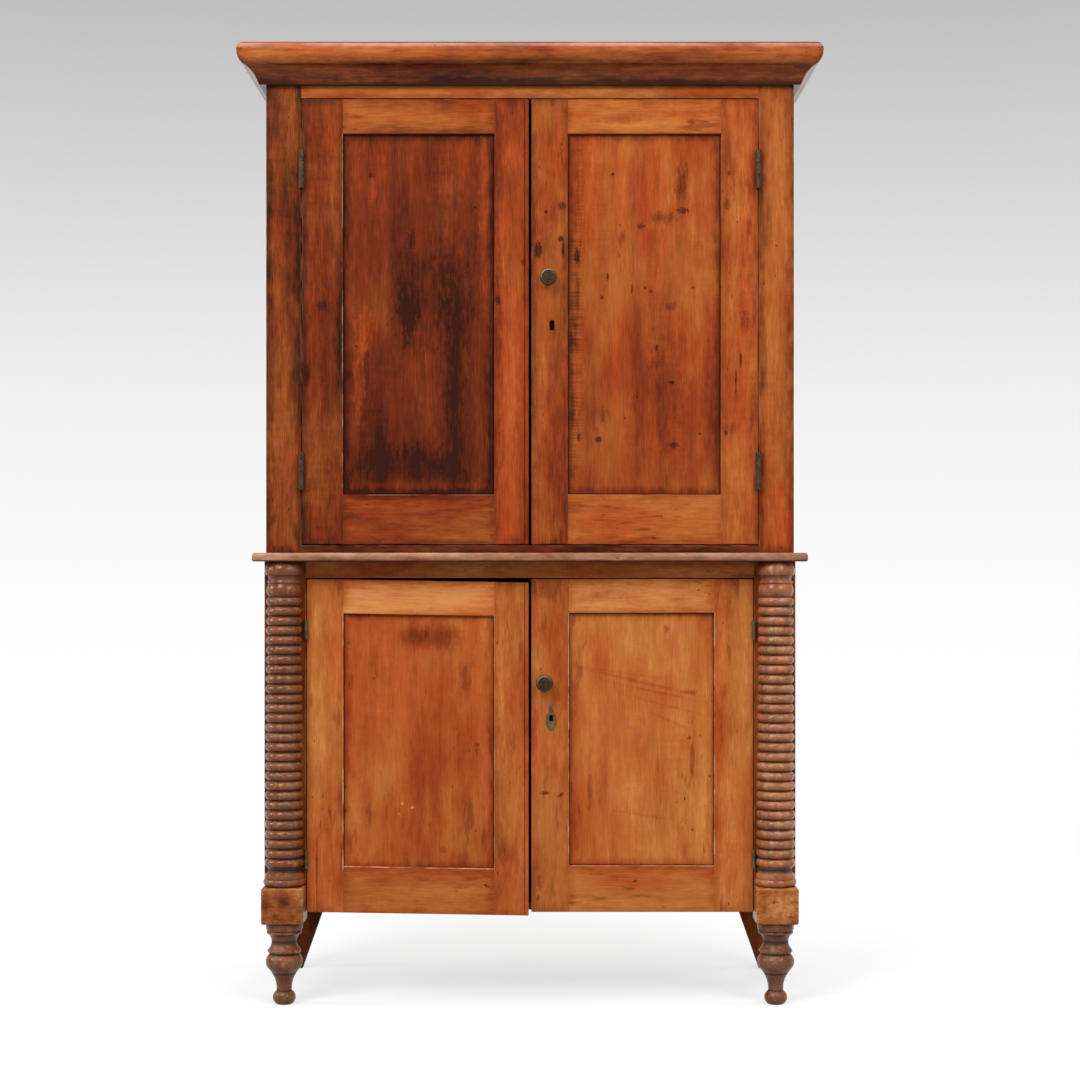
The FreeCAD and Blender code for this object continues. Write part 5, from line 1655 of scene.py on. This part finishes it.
def doors(shop: Workshop) -> list[Door]:
    """Return the four doors with the looks of their boards."""
    return [
        Door(
            shop,
            "upper_left_door",
            hinge_stile=Tone(0.30, 0.22, -0.04, 0.0, 0.1),
            meeting_stile=Tone(0.48, 0.12, -0.16),
            top_rail=Tone(0.485, 0.14, 0.06),
            bottom_rail=Tone(0.395, 0.10, -0.04),
            panel=Tone(0.235, 0.14, -0.16, 0.16, -0.04),
            rubbed=(0.5, 0.0, 0.0, 0.2),
            panel_marks=(
                Mark(-0.270, 1.523, 0.022, 0.055, 0.24), Mark(-0.221, 1.545, 0.075, 0.097, 0.12),
                Mark(-0.287, 1.187, 0.099, 0.040, 0.14), Mark(-0.371, 1.479, 0.018, 0.055, -0.22),
                Mark(-0.376, 1.373, 0.015, 0.088, -0.20), Mark(-0.166, 1.545, 0.040, 0.353, 0.09),
                Mark(-0.102, 1.766, 0.013, 0.177, -0.14), Mark(-0.349, 1.793, 0.009, 0.031, -0.12),
                Mark(-0.351, 1.821, 0.007, 0.007, 0.22), Mark(-0.243, 1.134, 0.155, 0.013, -0.12),
                Mark(-0.122, 1.751, 0.003, 0.003, 0.35), Mark(-0.261, 1.678, 0.011, 0.027, 0.12),
            ),
            frame_marks=(
                Mark(-0.426, 1.479, 0.011, 0.066, 0.12), Mark(-0.493, 1.380, 0.009, 0.024, 0.22),
                Mark(-0.460, 1.534, 0.011, 0.013, 0.18), Mark(-0.393, 1.068, 0.027, 0.009, 0.14),
                Mark(-0.071, 1.545, 0.007, 0.011, 0.24), Mark(-0.016, 1.629, 0.004, 0.009, 0.20),
                Mark(-0.040, 1.346, 0.022, 0.110, -0.08), Mark(-0.033, 1.866, 0.020, 0.027, -0.10),
            ),
        ),
        Door(
            shop,
            "upper_right_door",
            hinge_stile=Tone(0.58, 0.16, 0.01),
            meeting_stile=Tone(0.465, 0.18, 0.0),
            top_rail=Tone(0.65, 0.16, 0.12),
            bottom_rail=Tone(0.64, 0.10, 0.07),
            panel=Tone(0.475, 0.08, -0.05, 0.10),
            rubbed=(0.0, 0.05, 0.0, 0.1),
            panel_marks=(
                Mark(0.333, 1.808, 0.015, 0.038, 0.26), Mark(0.338, 1.744, 0.015, 0.009, 0.30),
                Mark(0.296, 1.729, 0.031, 0.013, 0.22), Mark(0.245, 1.709, 0.009, 0.007, 0.26),
                Mark(0.183, 1.824, 0.004, 0.004, 0.40), Mark(0.104, 1.645, 0.007, 0.018, 0.36),
                Mark(0.105, 1.568, 0.006, 0.062, 0.26, 0, 0.3), Mark(0.097, 1.468, 0.009, 0.031, 0.16),
                Mark(0.094, 1.303, 0.008, 0.046, 0.20, 0, 0.3), Mark(0.159, 1.552, 0.004, 0.004, 0.42),
                Mark(0.172, 1.598, 0.003, 0.009, 0.36), Mark(0.254, 1.574, 0.004, 0.004, 0.32),
                Mark(0.267, 1.565, 0.004, 0.004, 0.28), Mark(0.360, 1.574, 0.004, 0.004, 0.28),
                Mark(0.225, 1.572, 0.003, 0.011, 0.26), Mark(0.314, 1.532, 0.013, 0.011, 0.18),
                Mark(0.280, 1.441, 0.004, 0.007, 0.28), Mark(0.314, 1.364, 0.007, 0.004, 0.30),
                Mark(0.108, 1.243, 0.004, 0.011, 0.40), Mark(0.152, 1.238, 0.009, 0.007, 0.34),
                Mark(0.161, 1.291, 0.004, 0.018, 0.18), Mark(0.316, 1.225, 0.015, 0.007, 0.24),
                Mark(0.375, 1.251, 0.004, 0.003, 0.32), Mark(0.305, 1.391, 0.040, 0.166, 0.10),
                Mark(0.402, 1.291, 0.009, 0.044, 0.14),
            ),
            frame_marks=(
                Mark(0.475, 1.497, 0.011, 0.029, 0.20), Mark(0.466, 1.413, 0.003, 0.020, 0.42),
                Mark(0.455, 1.357, 0.002, 0.038, 0.40), Mark(0.068, 1.680, 0.007, 0.007, 0.36),
                Mark(0.073, 1.656, 0.004, 0.020, 0.32), Mark(0.018, 1.656, 0.009, 0.020, 0.36),
                Mark(0.071, 1.753, 0.009, 0.009, 0.26), Mark(0.035, 1.740, 0.004, 0.004, 0.34),
                Mark(0.444, 1.263, 0.022, 0.013, 0.14), Mark(0.433, 1.251, 0.003, 0.007, 0.36),
                Mark(0.356, 1.938, 0.009, 0.007, 0.28), Mark(0.199, 1.943, 0.049, 0.009, 0.14),
                Mark(0.254, 1.039, 0.015, 0.004, 0.24), Mark(0.437, 1.755, 0.009, 0.013, 0.16),
                Mark(0.440, 1.826, 0.004, 0.007, 0.24),
            ),
            chatter=(
                Mark(0.100, 1.420, 0.019, 0.270, 0.52, 0, 1.2), Mark(0.110, 1.780, 0.010, 0.120, 0.34),
            ),
        ),
        Door(
            shop,
            "lower_left_door",
            hinge_stile=Tone(0.77, 0.16, 0.0),
            meeting_stile=Tone(0.71, 0.14, -0.01),
            top_rail=Tone(0.92, 0.06, -0.10),
            bottom_rail=Tone(0.64, 0.06, 0.02),
            panel=Tone(0.67, 0.06, -0.03, 0.1),
            rubbed=(1.0, 0.8, 0.0, 0.7),
            panel_marks=(
                Mark(-0.255, 0.802, 0.032, 0.024, 0.24, 0, 0.3),
                Mark(-0.191, 0.800, 0.036, 0.028, 0.20, 0, 0.3),
                Mark(-0.228, 0.802, 0.080, 0.035, 0.12, 0, 0.3), Mark(-0.343, 0.710, 0.004, 0.004, 0.24),
                Mark(-0.116, 0.565, 0.007, 0.004, 0.22), Mark(-0.185, 0.560, 0.075, 0.230, 0.11, 0, 0.4),
                Mark(-0.281, 0.435, 0.003, 0.004, -0.60), Mark(-0.259, 0.426, 0.004, 0.003, -0.60),
                Mark(-0.288, 0.413, 0.003, 0.003, -0.50), Mark(-0.191, 0.334, 0.009, 0.009, 0.16),
                Mark(-0.242, 0.488, 0.035, 0.066, 0.06),
            ),
            frame_marks=(
                Mark(-0.055, 0.334, 0.018, 0.031, 0.16), Mark(-0.468, 0.286, 0.002, 0.088, 0.34),
                Mark(-0.417, 0.901, 0.018, 0.031, 0.10), Mark(-0.422, 0.268, 0.013, 0.057, 0.10),
            ),
            sag=0.009,
        ),
        Door(
            shop,
            "lower_right_door",
            hinge_stile=Tone(0.79, 0.16, 0.02),
            meeting_stile=Tone(0.67, 0.18, 0.05),
            top_rail=Tone(0.90, 0.16, 0.04),
            bottom_rail=Tone(0.74, 0.08, 0.10),
            panel=Tone(0.74, 0.08, 0.02, 0.05),
            rubbed=(1.0, 1.0, 0.0, 0.4),
            panel_marks=(
                Mark(0.301, 0.820, 0.007, 0.009, 0.24), Mark(0.242, 0.703, 0.127, 0.004, 0.15, -0.23),
                Mark(0.268, 0.683, 0.088, 0.003, 0.13, -0.21), Mark(0.351, 0.681, 0.018, 0.005, 0.22),
                Mark(0.202, 0.723, 0.088, 0.003, 0.10, -0.14),
                Mark(0.303, 0.650, 0.077, 0.003, 0.09, -0.26),
                Mark(0.312, 0.615, 0.044, 0.003, 0.11, -0.42), Mark(0.351, 0.580, 0.005, 0.005, 0.38),
                Mark(0.400, 0.661, 0.002, 0.002, 0.40), Mark(0.307, 0.440, 0.031, 0.088, 0.10),
                Mark(0.242, 0.411, 0.066, 0.003, 0.10, -0.16), Mark(0.103, 0.664, 0.013, 0.048, 0.12),
                Mark(0.158, 0.466, 0.009, 0.075, 0.08),
            ),
            frame_marks=(
                Mark(0.033, 0.459, 0.009, 0.004, 0.45), Mark(0.068, 0.455, 0.009, 0.004, 0.40, 0.61),
                Mark(0.040, 0.901, 0.031, 0.018, 0.18), Mark(0.176, 0.901, 0.048, 0.018, 0.10),
                Mark(0.435, 0.883, 0.013, 0.066, 0.08), Mark(0.022, 0.264, 0.007, 0.018, 0.20),
                Mark(0.018, 0.229, 0.004, 0.007, 0.28), Mark(0.428, 0.686, 0.011, 0.018, 0.10),
            ),
        ),
    ]


def main() -> None:
    """Dress the cupboard and light it."""
    logging.basicConfig(level=logging.INFO, format="%(name)s: %(message)s")
    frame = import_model()
    shop = Workshop(frame)
    Cases(shop).build()
    for door in doors(shop):
        door.build()
    TurnedFront(shop).build()
    Fittings(shop).build()
    Fasteners(shop).build()
    Studio().build()


if __name__ == "__main__":
    main()
